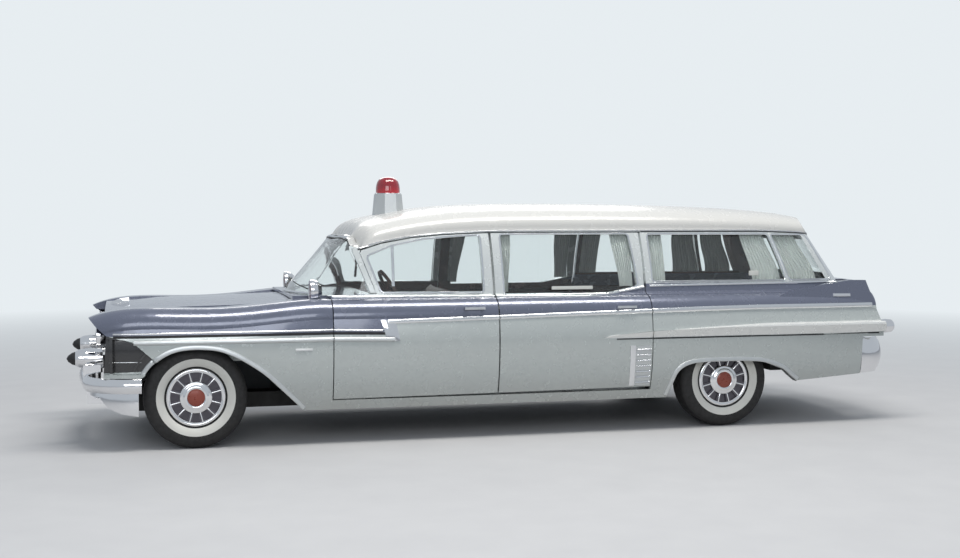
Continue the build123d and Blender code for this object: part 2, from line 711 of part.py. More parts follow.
# Frame: two side rails with a rise over the rear axle, cross members and front arms
rail_front_x = 2800
rise = 230
rail_line = [(rail_front_x, rail_bottom), (rail_front_x, rail_top), (-1100, rail_top)]
rail_line += [(-1300, rail_top + rise), (-2900, rail_top + rise), (-2900, rail_bottom + rise)]
rail_line += [(-1300, rail_bottom + rise), (-1100, rail_bottom)]
rail = side_prism(rail_line, rail_y - rail_width / 2, rail_y + rail_width / 2)
chassis = rail + mirrored(rail)
cross_rows = [(2740, 0), (2400, 0), (1250, 0), (200, 0), (-900, 0), (-2300, rise), (-2860, rise)]
for x, lift in cross_rows:
    low_z = rail_bottom + lift + 20
    chassis += box(x - 40, x + 40, -rail_y, rail_y, low_z, rail_top + lift)
outrigger_rows = [1200, 100, -950]
for x in outrigger_rows:
    for low_y, high_y in ((rail_y, 800), (-800, -rail_y)):
        chassis += box(x - 30, x + 30, low_y, high_y, rail_bottom + 30, rail_top)
arm_half = 28
arm_reach = kingpin_y + 20
lower_arm = (175, 200)
upper_arm = (515, 540)
front_arms = box(front_axle_x - arm_half, front_axle_x + arm_half, rail_y, arm_reach, *lower_arm)
front_arms += box(front_axle_x - 50, front_axle_x + 50, rail_y - 40, rail_y + 40, lower_arm[0], 240)
front_arms += box(front_axle_x - 50, front_axle_x + 50, rail_y - 40, rail_y + 40, 300, upper_arm[1])
front_arms += box(front_axle_x - arm_half, front_axle_x + arm_half, rail_y, arm_reach, *upper_arm)
chassis += front_arms
chassis += mirrored(front_arms)
save(chassis, "chassis_frame")

# Quarter glass: two panes on each side
def fitted(points):
    """The space inside a window opening, less its fit."""
    with BuildPart() as space:
        with BuildSketch(Plane.XZ.offset(-400)):
            with BuildLine():
                Polyline(*points, close=True)
            make_face()
            offset(amount=-glass_fit, kind=Kind.INTERSECTION)
        extrude(amount=-600)
    return space.part


side_panes = glass_sheet & (fitted(quarter_window) + fitted(small_window))
side_panes -= tail_post
save(side_panes + mirrored(side_panes), "quarter_glass")

# Grille: a frame filled with bars
grille_x = (lamp_wall_x, lamp_wall_x + 28)
grille_half = 600
grille_low = fender_low_z
grille_high = 902
grille_border = 22
bar_half = 5
grille = box(grille_x[0], grille_x[1], -grille_half, grille_half, grille_low, grille_high)
grille -= box(grille_x[0], grille_x[1], -grille_half + grille_border, grille_half - grille_border,
              grille_low + grille_border, grille_high - grille_border)
row_count = 6
column_count = 14
row_pitch = (grille_high - grille_low) / row_count
for row in range(1, row_count):
    z = grille_low + row * row_pitch
    grille += box(grille_x[0] + 4, grille_x[1] - 2, -grille_half + 5, grille_half - 5, z - bar_half,
                  z + bar_half)
column_pitch = 2 * grille_half / column_count
for column in range(1, column_count):
    y = -grille_half + column * column_pitch
    grille += box(grille_x[0] + 4, grille_x[1] - 6, y - bar_half, y + bar_half, grille_low + 5,
                  grille_high - 5)
save(grille, "grille")


def turned(points, x, y, z):
    """A round piece about an axis along the car. Points: distance forward, radius."""
    with BuildPart() as piece:
        with BuildSketch(Plane.XY):
            with BuildLine():
                Polyline(*points, close=True)
            make_face()
        revolve(axis=Axis.X)
    return Pos(x, y, z) * piece.part


# Headlamps on the fender's front wall, deeper than they are wide
lamp_y = 700
lamp_z = 782
lamp_radius = 88
lamp_profile = [(0, 0), (0, lamp_radius - 12), (60, lamp_radius), (84, lamp_radius)]
lamp_profile += [(88, lamp_radius - 9), (80, lamp_radius - 10), (90, 50), (95, 0)]
headlamp = turned(lamp_profile, lamp_wall_x, lamp_y, lamp_z)
save(headlamp + mirrored(headlamp), "headlamps")


def bumper_bar(front_x, side_x, side_y, corner_x, corner_y, end_x, end_y, depth, low_z, high_z, swell):
    """A bumper blade wrapped round the car's end. Its face swells out at half height."""
    sign = 1 if front_x > 0 else -1

    def layer(z, pull):
        """The plan outline at a height, pulled in by an amount."""
        side = (side_x - sign * pull, side_y - 0.3 * pull)
        corner = (corner_x - sign * 0.7 * pull, corner_y - 0.8 * pull)
        end = (end_x, end_y - pull)
        with BuildSketch(Plane.XY.offset(z)) as plan:
            with BuildLine():
                ThreePointArc(side, (front_x - sign * pull, 0), (side[0], -side[1]))
                ThreePointArc((side[0], -side[1]), (corner[0], -corner[1]), (end[0], -end[1]))
                Line((end[0], -end[1]), end)
                ThreePointArc(end, corner, side)
            make_face()
        return plan.sketch.face()

    outer = loft([layer(low_z, swell), layer((low_z + high_z) / 2, 0), layer(high_z, swell)])
    return outer - extrude(layer(low_z, depth), high_z - low_z, dir=(0, 0, 1))


# Front bumper: upper blade, lower wing, two round pods with tips
pod_y = 560
pod_z = 615
pod_profile = [(0, 0), (0, 66), (110, 70), (160, 62), (182, 50), (182, 0)]
tip_profile = [(0, 0), (0, 48), (22, 41), (48, 22), (60, 0)]
pod_back_x = 2900
blade_seam_z = 402
wing_outline = [(2600, 246), (2669, 246), (2773, 263), (2863, 300), (2921, 369), (3100, 374)]
wing_outline += [(3100, blade_seam_z), (2600, blade_seam_z)]
bumper = bumper_bar(3072, 3040, 600, 2895, 893, 2642, 958, 44, blade_seam_z, 500, 20)
wing = bumper_bar(3030, 2990, 560, 2860, 872, 2662, 945, 36, 240, blade_seam_z, 6)
bumper += wing & side_prism(wing_outline, -1000, 1000)
pod = turned(pod_profile, pod_back_x, pod_y, pod_z)
pod += box(pod_back_x + 12, 3030, pod_y - 52, pod_y + 52, 440, pod_z)
bracket = box(rail_front_x, 3010, rail_y - 25, rail_y + 25, rail_bottom + 60, rail_bottom + 100)
bracket += box(2960, 3010, rail_y - 25, rail_y + 25, rail_bottom + 60, 440)
bumper += pod + mirrored(pod)
bumper += bracket + mirrored(bracket)
save(bumper, "front_bumper")
tip = turned(tip_profile, pod_back_x + 182, pod_y, pod_z)
save(tip + mirrored(tip), "bumper_tips")

# Rear bumper
back_bumper = bumper_bar(-half_length, -3115, 600, -3025, 880, bumper_seam_x - 4, 968, 44, 412, 625, 22)
back_wings = bumper_bar(-3090, -3070, 600, -3015, 875, bumper_seam_x - 4, 968, 44, 384, 656, 22)
back_bumper += back_wings - box(-3200, -2700, -760, 760, 300, 700)
back_bracket = box(-3110, -2900, rail_y - 25, rail_y + 25, 455, 545)
back_bumper += back_bracket + mirrored(back_bracket)
save(back_bumper, "rear_bumper")

# Tail lamps: round nozzles at the ends of the spears
nozzle_profile = [(0, 0), (0, 50), (-40, 54), (-88, 50), (-100, 40), (-92, 34), (-96, 0)]
nozzle = turned(nozzle_profile, -3002, 925, 745)
save(nozzle + mirrored(nozzle), "tail_lamps")


def upright(points, x, y):
    """A round piece about an upright axis. Points: radius, height."""
    with BuildPart() as piece:
        with BuildSketch(Plane.XZ):
            with BuildLine():
                Polyline(*points, close=True)
            make_face()
        revolve(axis=Axis.Z)
    return Pos(x, y, 0) * piece.part


# Roof beacon
beacon_x = 757
base_top_z = 1778
beacon_sides = 8
with BuildPart() as beacon_cone:
    for z, apothem in ((1600, 117), (base_top_z, 101)):
        with BuildSketch(Plane.XY.offset(z)):
            with Locations((beacon_x, 0)):
                RegularPolygon(apothem, beacon_sides, major_radius=False, rotation=180 / beacon_sides)
    loft(ruled=True)
beacon_base = beacon_cone.part - roof_outer
save(beacon_base, "beacon_base")
lens_z = base_top_z + glass_fit
lens_points = [(0, lens_z), (94, lens_z), (94, 1830), (88, 1866), (70, 1893), (40, 1909), (0, 1913)]
save(upright(lens_points, beacon_x, 0), "beacon_lens")

# Round lamp heads on the front fenders
head_x = 1445
head_y = 775
head_z = 1078
head_profile = [(-58, 0), (-52, 40), (-22, 70), (8, 80), (22, 80), (27, 70), (33, 0)]
lamp_head = turned(head_profile, head_x, head_y, head_z)
lamp_head += upright([(0, 985), (30, 985), (30, 1012), (14, 1020), (14, head_z), (0, head_z)], head_x,
                     head_y)
lamp_head -= fender_outer
save(lamp_head + mirrored(lamp_head), "fender_lamps")

# Front bench seat
seat_half = 660
seat_points = [(330, floor_top), (760, floor_top), (780, 470), (880, 500), (885, 590), (850, 625)]
seat_points += [(430, 585), (330, 1085), (290, 1110), (230, 1095), (215, 1050), (300, 500)]
seat = side_prism(seat_points, -seat_half, seat_half)
seat -= box(200, 900, -tunnel_half - tunnel_plate - 5, tunnel_half + tunnel_plate + 5, floor_top - 5, 470)
save(seat, "front_seat")

# Steering wheel on its column, which ends at the dash
column_foot = (dash_x, 380, 905)
column_top = (800, 380, 1010)
wheel_plane = Plane(origin=column_top, z_dir=(-185, 0, 105))
with BuildPart() as hand_wheel:
    with BuildSketch(wheel_plane) as ring_sketch:
        Circle(212)
        Circle(188, mode=Mode.SUBTRACT)
    extrude(amount=22)
    with BuildSketch(wheel_plane):
        Rectangle(34, 390)
        Circle(45)
    extrude(amount=18)
    with BuildSketch(wheel_plane):
        Circle(24)
    extrude(amount=-300)
steering = hand_wheel.part - cowl
steering = steering.solids().sort_by(SortBy.VOLUME)[-1]
save(steering, "steering_wheel")

# Engine and radiator, as plain blocks
engine_rear_x = 1700
engine = box(engine_rear_x, 2440, -230, 230, rail_top, 800)
save(engine, "engine_block")
radiator = box(2710, 2770, -340, 340, rail_top, 880)
save(radiator, "radiator")

# Fuel tank under the load floor
tank_low_z = 350
tank = box(-2810, -2350, -190, 350, tank_low_z, load_floor_z - floor_plate)
save(tank, "fuel_tank")

# Exhaust: pipe and silencer along the right side of the frame
pipe_radius = 26
pipe_z = rail_bottom + 20 - pipe_radius - 0.3
pipe_y = -260
pipe_route = [(engine_rear_x + 200, pipe_y, pipe_z), (-1050, pipe_y, pipe_z), (-1420, pipe_y, 515)]
pipe_route += [(-1960, pipe_y, 515), (-2180, pipe_y, 410), (-3030, pipe_y, 370)]
with BuildPart() as pipe:
    with BuildLine() as route:
        FilletPolyline(*pipe_route, radius=90)
    with BuildSketch(Plane(origin=route.line @ 0, z_dir=route.line % 0)):
        Circle(pipe_radius)
    sweep()
muffler = box(-150, 500, pipe_y - 95, pipe_y + 95, 130, pipe_z + pipe_radius - 2)
exhaust = pipe.part + muffler
save(exhaust, "exhaust")

# Rear axle with its drums and drive shaft
axle_radius = 45
drum_in = 665
drum_out = 745
stub_out = 838
rear_axle = cross_rod(rear_axle_x, tyre_radius, axle_radius, -drum_in, drum_in)
rear_axle += cross_rod(rear_axle_x, tyre_radius, 130, -90, 90)
for side_sign in (-1, 1):
    ends = sorted((side_sign * drum_in, side_sign * drum_out))
    rear_axle += cross_rod(rear_axle_x, tyre_radius, drum_radius, *ends)
    ends = sorted((side_sign * drum_out, side_sign * stub_out))
    rear_axle += cross_rod(rear_axle_x, tyre_radius, stub_radius, *ends)
    ends = sorted((side_sign * (rail_y - 30), side_sign * (rail_y + 30)))
    rear_axle += box(rear_axle_x - 40, rear_axle_x + 40, *ends, 306, 340)
shaft_z = 375
rear_axle += turned([(0, 0), (0, 34), (engine_rear_x - rear_axle_x, 34), (engine_rear_x - rear_axle_x, 0)],
                    rear_axle_x, 0, shaft_z)
save(rear_axle, "rear_axle")

# Leaf springs under the rear axle, with hangers up to the rails
with BuildPart() as leaf:
    with BuildSketch(Plane.XZ.offset(-rail_y + 30)):
        with BuildLine():
            ThreePointArc((-1300, 400), (rear_axle_x, 270), (-2200, 400))
            Line((-2200, 400), (-2200, 436))
            ThreePointArc((-2200, 436), (rear_axle_x, 306), (-1300, 436))
            Line((-1300, 436), (-1300, 400))
        make_face()
    extrude(amount=-60)
spring = leaf.part + box(-1332, -1300, rail_y - 30, rail_y + 30, 400, rail_bottom + rise)
spring += box(-2202, -2170, rail_y - 30, rail_y + 30, 400, rail_bottom + rise)
spring -= rear_axle
save(spring + mirrored(spring), "leaf_springs")

# Steering knuckles: post, drum and stub
for name, side_sign in (("left", 1), ("right", -1)):
    post_y = side_sign * kingpin_y
    knuckle = upright([(0, lower_arm[1] + 0.3), (24, lower_arm[1] + 0.3), (24, upper_arm[0] - 0.3),
                       (0, upper_arm[0] - 0.3)], front_axle_x, post_y)
    ends = sorted((post_y, side_sign * drum_out))
    knuckle += cross_rod(front_axle_x, tyre_radius, 40, *ends)
    ends = sorted((side_sign * drum_in, side_sign * drum_out))
    knuckle += cross_rod(front_axle_x, tyre_radius, drum_radius, *ends)
    ends = sorted((side_sign * drum_out, side_sign * stub_out))
    knuckle += cross_rod(front_axle_x, tyre_radius, stub_radius, *ends)
    save(knuckle, "knuckle_" + name)

# Wheels with full covers, and tyres. Points: radius, distance outward
bore = stub_radius + bearing_clearance
cover_face = 88
wheel_points = [(0, 52), (bore, 52), (bore, -40), (70, -40), (70, 25), (180, 25), (180, -75)]
wheel_points += [(flange_radius, -75), (flange_radius, -66), (rim_radius, -60), (rim_radius, 60), (cover_radius, 66)]
wheel_points += [(cover_radius, 80), (186, cover_face), (100, cover_face), (84, 100), (0, 106)]
pocket_count = 12
pocket_depth = 16
pocket_points = [(112, -14), (172, -25), (172, 25), (112, 14)]
tyre_fit = 0.7
tyre_in = rim_radius + tyre_fit
tyre_half = tyre_width / 2
tyre_points = [(tyre_in, -58), (tyre_in, 58), (cover_radius + tyre_fit, 64), (222, 92), (285, tyre_half)]
tyre_points += [(338, 93), (tyre_radius, 55), (tyre_radius, -55), (338, -93), (285, -tyre_half), (222, -92)]
tyre_points += [(flange_radius + tyre_fit, -64)]


def rolled(points):
    """A round piece about an axle across the car."""
    with BuildPart() as piece:
        with BuildSketch(Plane.XY):
            with BuildLine():
                Polyline(*points, close=True)
            make_face()
        revolve(axis=Axis.Y)
    return piece.part


pocket = side_prism(pocket_points, cover_face - pocket_depth, cover_face)
wheel_shape = rolled(wheel_points)
for turn in range(pocket_count):
    wheel_shape -= Rot(0, turn * 360 / pocket_count, 0) * pocket
tyre_shape = rolled(tyre_points)
for end_name, x in (("front", front_axle_x), ("rear", rear_axle_x)):
    place = Pos(x, half_track, tyre_radius)
    save(place * wheel_shape, "wheel_" + end_name + "_left")
    save(mirrored(place * wheel_shape), "wheel_" + end_name + "_right")
    save(place * tyre_shape, "tyre_" + end_name + "_left")
    save(mirrored(place * tyre_shape), "tyre_" + end_name + "_right")

# Curtains hung just inside the side windows
curtain_fold = 26
curtain_out = side_solid(body_rows, lower_wall, upper_wall + glass_fit, True)
curtain_in = side_solid(body_rows, lower_wall, upper_wall + glass_fit + curtain_fold, True)
curtain_layer = curtain_out - curtain_in
curtain_top = 1472
door_curtain = curtain_layer & (box(-40, 70, 400, 1000, 1046, curtain_top) + box(
    -975, -815, 400, 1000, 1068, curtain_top))
save(door_curtain, "curtains_rear_left")
save(mirrored(door_curtain), "curtains_rear_right")
side_curtain = curtain_layer & box(-1250, -1085, 400, 1000, 1112, curtain_top + 6)
side_curtain += curtain_layer & side_prism([(-2215, 1112), (-2110, 1478), (-1900, 1478), (-1960, 1112)],
                                           400, 1000)
side_curtain += curtain_layer & side_prism([(-2270, 1112), (-2165, 1478), (-2380, 1478), (-2520, 1112)],
                                           400, 1000)
side_curtain &= tail_high_inner
save(side_curtain + mirrored(side_curtain), "curtains_quarter")
print("built")
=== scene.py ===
import bmesh
import bpy
import math
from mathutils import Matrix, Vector
from mathutils.bvhtree import BVHTree


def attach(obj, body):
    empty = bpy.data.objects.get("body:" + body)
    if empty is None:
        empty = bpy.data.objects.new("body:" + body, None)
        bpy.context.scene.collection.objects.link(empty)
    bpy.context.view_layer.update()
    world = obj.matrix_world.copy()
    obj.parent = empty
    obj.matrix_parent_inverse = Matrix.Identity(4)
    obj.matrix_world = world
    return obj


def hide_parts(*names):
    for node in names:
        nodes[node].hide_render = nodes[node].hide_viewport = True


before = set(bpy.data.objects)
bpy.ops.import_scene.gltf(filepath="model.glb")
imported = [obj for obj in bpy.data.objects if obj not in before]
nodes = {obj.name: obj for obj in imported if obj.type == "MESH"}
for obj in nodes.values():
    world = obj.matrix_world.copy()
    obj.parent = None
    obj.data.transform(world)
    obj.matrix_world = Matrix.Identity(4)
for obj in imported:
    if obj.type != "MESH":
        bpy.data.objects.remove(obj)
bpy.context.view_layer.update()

# The car's frame, in metres: +X is forward, +Y is left, +Z is up
front_axle_x = 2.278
rear_axle_x = -1.684
axle_z = 0.356
tyre_radius = 0.356
half_track = 0.790
cowl_seam_x = 1.338
door_seam_x = 0.135
quarter_seam_x = -1.047
seam_half = 0.0035


# Materials

class Nodes:
    """Short calls that add and join the nodes of a material or a world."""

    def __init__(self, tree):
        self.tree = tree

    def add(self, kind, **props):
        node = self.tree.nodes.new("ShaderNode" + kind)
        for key, value in props.items():
            setattr(node, key, value)
        return node

    def put(self, socket, value):
        if isinstance(value, bpy.types.NodeSocket):
            self.tree.links.new(value, socket)
        elif isinstance(value, tuple) and len(value) == 3 and socket.type == "RGBA":
            socket.default_value = (*value, 1)
        else:
            socket.default_value = value

    def math(self, operation, a, b=0.0, c=0.0):
        node = self.add("Math", operation=operation)
        for socket, value in zip(node.inputs, (a, b, c)):
            self.put(socket, value)
        return node.outputs[0]

    def mix(self, factor, a, b):
        node = self.add("Mix", data_type="RGBA")
        self.put(node.inputs[0], factor)
        self.put(node.inputs[6], a)
        self.put(node.inputs[7], b)
        return node.outputs[2]

    def seen(self):
        """1 for what the camera sees, also through glass."""
        ray = self.add("LightPath").outputs
        return self.math("MAXIMUM", ray["Is Camera Ray"], ray["Is Transmission Ray"])

    def blend(self, factor, a, b, output):
        """Puts a mix of two nodes' shaders on the output."""
        node = self.add("MixShader")
        for socket, value in zip(node.inputs, (factor, a.outputs[0], b.outputs[0])):
            self.put(socket, value)
        self.put(self.tree.nodes[output].inputs["Surface"], node.outputs[0])


class Shade(Nodes):
    """A principled material with the values that feed it."""

    def __init__(self, name, color=None, **values):
        self.mat = bpy.data.materials.new(name)
        self.mat.use_nodes = True
        super().__init__(self.mat.node_tree)
        self.bsdf = self.tree.nodes["Principled BSDF"]
        if color:
            self.color(color)
        for key, value in values.items():
            self.bsdf.inputs[key.replace("_", " ")].default_value = value

    def place(self):
        """The x, y and z of the point, in the car's frame."""
        if not hasattr(self, "xyz"):
            self.coords = self.add("TexCoord")
            split = self.add("SeparateXYZ")
            self.put(split.inputs[0], self.coords.outputs["Object"])
            self.xyz = split.outputs
        return self.xyz

    def above(self, value, limit):
        return self.math("GREATER_THAN", value, limit)

    def below(self, value, limit):
        return self.math("LESS_THAN", value, limit)

    def times(self, *values):
        """The product of values: 1 where all of them are 1."""
        result = values[0]
        for value in values[1:]:
            result = self.math("MULTIPLY", result, value)
        return result

    def held(self, value, high=1.0):
        """A value kept between 0 and another."""
        return self.math("MAXIMUM", self.math("MINIMUM", value, high), 0.0)

    def length(self, a, b):
        return self.math("SQRT", self.math("ADD", self.times(a, a), self.times(b, b)))

    def from_axle(self, axle_x):
        """The distance from a wheel's axle."""
        x, y, z = self.place()
        return self.length(self.math("SUBTRACT", x, axle_x), self.math("SUBTRACT", z, axle_z))

    def beyond(self, reach):
        """1 farther out from the car's middle plane than a distance."""
        return self.above(self.math("ABSOLUTE", self.place()[1]), reach)

    def inward(self):
        """1 where the surface looks towards the car's middle plane."""
        x, y, z = self.place()
        split = self.add("SeparateXYZ")
        self.put(split.inputs[0], self.coords.outputs["Normal"])
        return self.below(self.times(split.outputs[1], self.math("SIGN", y)), -0.35)

    def noise(self, scale, detail=3.0):
        self.place()
        node = self.add("TexNoise")
        self.put(node.inputs["Vector"], self.coords.outputs["Object"])
        node.inputs["Scale"].default_value = scale
        node.inputs["Detail"].default_value = detail
        return node.outputs["Fac"]

    def line(self, points, coordinate):
        """The height of a line of points at a coordinate of the surface."""
        low, high = -3.5, 3.5
        ramp = self.add("ValToRGB")
        elements = ramp.color_ramp.elements
        stops = sorted(((p - low) / (high - low), value) for p, value in points)
        for index, (at, value) in enumerate(stops):
            element = elements[index] if index < 2 else elements.new(at)
            element.position = at
            element.color = (value, value, value, 1)
        self.put(ramp.inputs[0], self.math("MULTIPLY_ADD", coordinate, 1 / (high - low), -low / (high - low)))
        return ramp.outputs[0]

    def rough(self, low, high, noise):
        """Roughness between two values, after a noise's middle span."""
        span = self.add("MapRange")
        for socket, value in zip(span.inputs, (noise, 0.3, 0.7, low, high)):
            self.put(socket, value)
        self.put(self.bsdf.inputs["Roughness"], span.outputs[0])

    def bump(self, height, distance, strength=1.0):
        node = self.add("Bump")
        node.inputs["Strength"].default_value = strength
        node.inputs["Distance"].default_value = distance
        self.put(node.inputs["Height"], height)
        self.put(self.bsdf.inputs["Normal"], node.outputs[0])

    def color(self, value):
        self.put(self.bsdf.inputs["Base Color"], value)


SLATE = (0.098, 0.112, 0.168)
SILVER = (0.50, 0.535, 0.52)
FRAME_SILVER = (0.60, 0.63, 0.625)
ROOF_WHITE = (0.56, 0.555, 0.535)
DUST = (0.30, 0.25, 0.21)
TRIM_BROWN = (0.075, 0.030, 0.024)
# Pale colour of the spear: a painted highlight of sun on its top
SPEAR_PAINTED_HIGHLIGHT = (0.86, 0.86, 0.83)
HANDLE_BRIGHT = (0.80, 0.81, 0.82)
# Near-black painted shade for the recess ahead of the front wheel
RECESS_PAINTED_SHADE = (0.008, 0.007, 0.008)

# Lower and upper edges of the slate colour along the car's side: x, height
tone_low = [(-3.1, 0.912), (-1.92, 0.913), (-1.04, 0.900), (0.133, 0.871), (0.925, 0.860),
            (0.985, 0.790), (1.352, 0.797), (2.83, 0.790)]
tone_high = [(-1.10, 1.088), (-1.044, 1.086), (-0.885, 1.059), (-0.727, 1.024), (-0.57, 1.012), (0.17, 1.025),
             (0.84, 1.035), (1.10, 1.040), (1.16, 1.3)]

# The drip line, above which the body frame has the roof's colour: x, height
drip_heights = [(-3.0, 1.46), (-2.56, 1.474), (-2.417, 1.493), (-2.07, 1.507), (0.125, 1.507), (0.506, 1.491),
                (0.731, 1.470), (0.953, 1.431), (1.092, 1.388), (1.17, 1.372), (1.3, 1.372)]

# Height up to which dust lies, and the door handles' heights and distance out from the middle
dust_top = 0.47
handle_low, handle_high = 0.922, 0.962
handle_out = 0.993

# Tail door: the slate colour's lower edge, and the foot of the window. Cowl: front of the trimmed part
tail_tone_z = 0.905
tail_sill_z = 1.103
cowl_trim_x = 1.052

# Radii of the tyres' white bands and of the wheel covers' grey pockets
white_inner, white_outer = 0.2145, 0.2695
grey_inner, grey_outer = 0.109, 0.175

# Front edge of the silver behind the recess ahead of the front wheel, which is painted near-black as shade: height, x
recess_edge = [(0.0, 3.4), (0.530, 3.4), (0.540, 2.638), (0.631, 2.566), (0.744, 2.690), (0.800, 2.890), (0.812, 3.4),
               (3.0, 3.4)]

# The spear along the lower side, paler with a painted highlight of sun on its top: lower edge, distance out, and x,
# height of its upper edge
spear_low = 0.708
spear_out = 0.97
spear_high = [(-3.2, 0.797), (-2.0, 0.796), (-1.5, 0.776), (-1.05, 0.752), (-0.70, 0.728), (-0.66, 0.705), (3.0, 0.0)]


def spear_painted_highlight(shade, base):
    """The base colour, with a painted highlight that makes the spear paler."""
    x, y, z = shade.place()
    band = shade.times(shade.above(z, spear_low), shade.below(z, shade.line(spear_high, x)), shade.beyond(spear_out))
    return shade.mix(band, base, SPEAR_PAINTED_HIGHLIGHT)


def finish_paint(shade, base, lined_top):
    """Clear gloss over fine metal flake, with road dust low down and trim on inner faces up to a height."""
    x, y, z = shade.place()
    flake = shade.times(shade.noise(900.0, 1.0), 0.06)
    shaded = shade.mix(flake, base, (1.0, 1.0, 1.0))
    dusty = shade.times(shade.math("SUBTRACT", dust_top, z), 2.0, shade.noise(3.0, 4.0))
    shaded = shade.mix(shade.held(dusty, 0.35), shaded, DUST)
    lined = shade.times(shade.inward(), shade.below(z, lined_top))
    shade.color(shade.mix(lined, shaded, TRIM_BROWN))
    shade.rough(0.20, 0.30, shade.noise(14.0, 2.0))
    shade.bump(shade.noise(45.0, 2.0), 0.00004, 0.3)


def paint(name, bands, lined_top=0.0, gloss=0.9):
    """A body paint in one colour or in the bands of one kind of panel."""
    shade = Shade(name, Metallic=0.35 * gloss, Coat_Weight=gloss, Coat_Roughness=0.30 - 0.26 * gloss)
    x, y, z = shade.place()
    two_tone = shade.mix(shade.above(z, shade.line(tone_low, x)), SILVER, SLATE)
    if bands == "body":
        # Painted shade: the recess ahead of the front wheel is painted near-black
        recess_shade = shade.above(x, shade.line(recess_edge, z))
        base = spear_painted_highlight(shade, shade.mix(recess_shade, two_tone, RECESS_PAINTED_SHADE))
    elif bands == "doors":
        base = spear_painted_highlight(shade, shade.mix(shade.above(z, shade.line(tone_high, x)), two_tone, FRAME_SILVER))
        handle = shade.times(shade.beyond(handle_out), shade.above(z, handle_low), shade.below(z, handle_high))
        base = shade.mix(handle, base, HANDLE_BRIGHT)
        shade.put(shade.bsdf.inputs["Metallic"], shade.math("MULTIPLY_ADD", handle, 0.65, 0.35))
    elif bands == "tail":
        lower = shade.mix(shade.above(z, tail_tone_z), SILVER, SLATE)
        base = shade.mix(shade.above(z, tail_sill_z), lower, FRAME_SILVER)
    elif bands == "frame":
        base = shade.mix(shade.above(z, shade.line(drip_heights, x)), FRAME_SILVER, ROOF_WHITE)
    elif bands == "cowl":
        base = shade.mix(shade.below(x, cowl_trim_x), SLATE, TRIM_BROWN)
    else:
        base = bands
    finish_paint(shade, base, lined_top)
    return shade.mat


def plain(name, color, rough=(0.4, 0.5), metallic=0.0, grain=60.0, depth=0.0005, vary=0.15, **values):
    """A finish with its colour and gloss varied a little over the surface."""
    shade = Shade(name, Metallic=metallic, **values)
    shade.color(shade.mix(shade.noise(grain * 0.25), tuple(c * (1 - vary) for c in color), color))
    shade.rough(rough[0], rough[1], shade.noise(grain))
    shade.bump(shade.noise(grain * 3, 2.0), depth, 0.4)
    return shade.mat


def tyre_rubber(name, axle_x):
    """Black rubber with a wide white band on its outer wall."""
    shade = Shade(name)
    radius = shade.from_axle(axle_x)
    band = shade.times(shade.above(radius, white_inner), shade.below(radius, white_outer),
                       shade.beyond(half_track + 0.03))
    dirt = shade.noise(22.0, 5.0)
    white = shade.mix(shade.times(dirt, 0.35), (0.78, 0.77, 0.72), (0.50, 0.47, 0.42))
    black = shade.mix(dirt, (0.009, 0.009, 0.010), (0.026, 0.024, 0.023))
    shade.color(shade.mix(band, black, white))
    shade.rough(0.55, 0.8, shade.noise(40.0, 3.0))
    shade.bump(shade.noise(260.0, 3.0), 0.0006, 0.5)
    return shade.mat


def wheel_metal(name, axle_x):
    """Polished cover with grey paint down in its pockets."""
    shade = Shade(name, Metallic=1.0)
    radius = shade.from_axle(axle_x)
    pocket = shade.times(shade.above(radius, grey_inner), shade.below(radius, grey_outer), shade.beyond(half_track))
    cloud = shade.noise(20.0, 3.0)
    shade.color(shade.mix(pocket, shade.mix(cloud, (0.66, 0.67, 0.68), (0.78, 0.79, 0.80)), (0.105, 0.098, 0.115)))
    shade.put(shade.bsdf.inputs["Metallic"], shade.math("MULTIPLY_ADD", pocket, -0.7, 1.0))
    shade.rough(0.10, 0.22, shade.noise(30.0, 3.0))
    shade.bump(shade.noise(90.0, 2.0), 0.0001, 0.3)
    return shade.mat


def cloth(name, color, weave):
    """Woven fabric with a soft sheen."""
    shade = Shade(name, Roughness=0.85, Sheen_Weight=0.4, Sheen_Roughness=0.5)
    shade.color(shade.mix(shade.noise(9.0), tuple(c * 0.86 for c in color), color))
    x, y, z = shade.place()
    across, up = [shade.math("SINE", shade.times(value, weave)) for value in (x, z)]
    shade.bump(shade.times(across, up), 0.0004, 0.5)
    return shade.mat


def leather(name, color):
    """Vinyl upholstery with a pebbled grain."""
    shade = Shade(name, Roughness=0.5, Specular_IOR_Level=0.4)
    shade.color(shade.mix(shade.noise(7.0), tuple(c * 0.75 for c in color), color))
    shade.rough(0.4, 0.6, shade.noise(25.0, 2.0))
    cells = shade.add("TexVoronoi")
    shade.put(cells.inputs["Vector"], shade.coords.outputs["Object"])
    cells.inputs["Scale"].default_value = 420.0
    shade.bump(cells.outputs["Distance"], 0.0005, 0.4)
    return shade.mat


def clear(name, color, rough=0.01, **values):
    """Glass or clear plastic with faint dust in it."""
    shade = Shade(name, color, Transmission_Weight=1.0, IOR=1.45, **values)
    shade.rough(rough, rough + 0.02, shade.noise(6.0, 4.0))
    return shade.mat


paint_frame = paint("paint_frame", "frame", lined_top=1.5)
paint_roof = paint("paint_roof", ROOF_WHITE, gloss=0.15)
chrome = plain("chrome", (0.82, 0.82, 0.83), (0.05, 0.12), 1.0, 12.0, 0.0001, 0.04)
bright = plain("bright_trim", (0.80, 0.81, 0.82), (0.10, 0.18), 1.0, 18.0, 0.0001, 0.05)
silver_satin = plain("silver_satin", (0.62, 0.64, 0.64), (0.28, 0.36), 0.7, 30.0, 0.0002, 0.08)
black_rubber = plain("black_rubber", (0.016, 0.016, 0.017), (0.45, 0.6), 0.0, 90.0, 0.0004, 0.2)
# Dark strips of painted shadow, laid under the brow, the spear and the drip rail
painted_shadow = plain("painted_shadow_strip", (0.012, 0.012, 0.014), (0.6, 0.75), 0.0, 40.0, 0.0004, 0.2)
interior = leather("interior_trim", TRIM_BROWN)
seat_leather = leather("seat_leather", (0.11, 0.040, 0.030))
curtain_cloth = cloth("curtain_cloth", (0.74, 0.76, 0.74), 2600.0)
glass = clear("window_glass", (0.92, 0.955, 0.95))


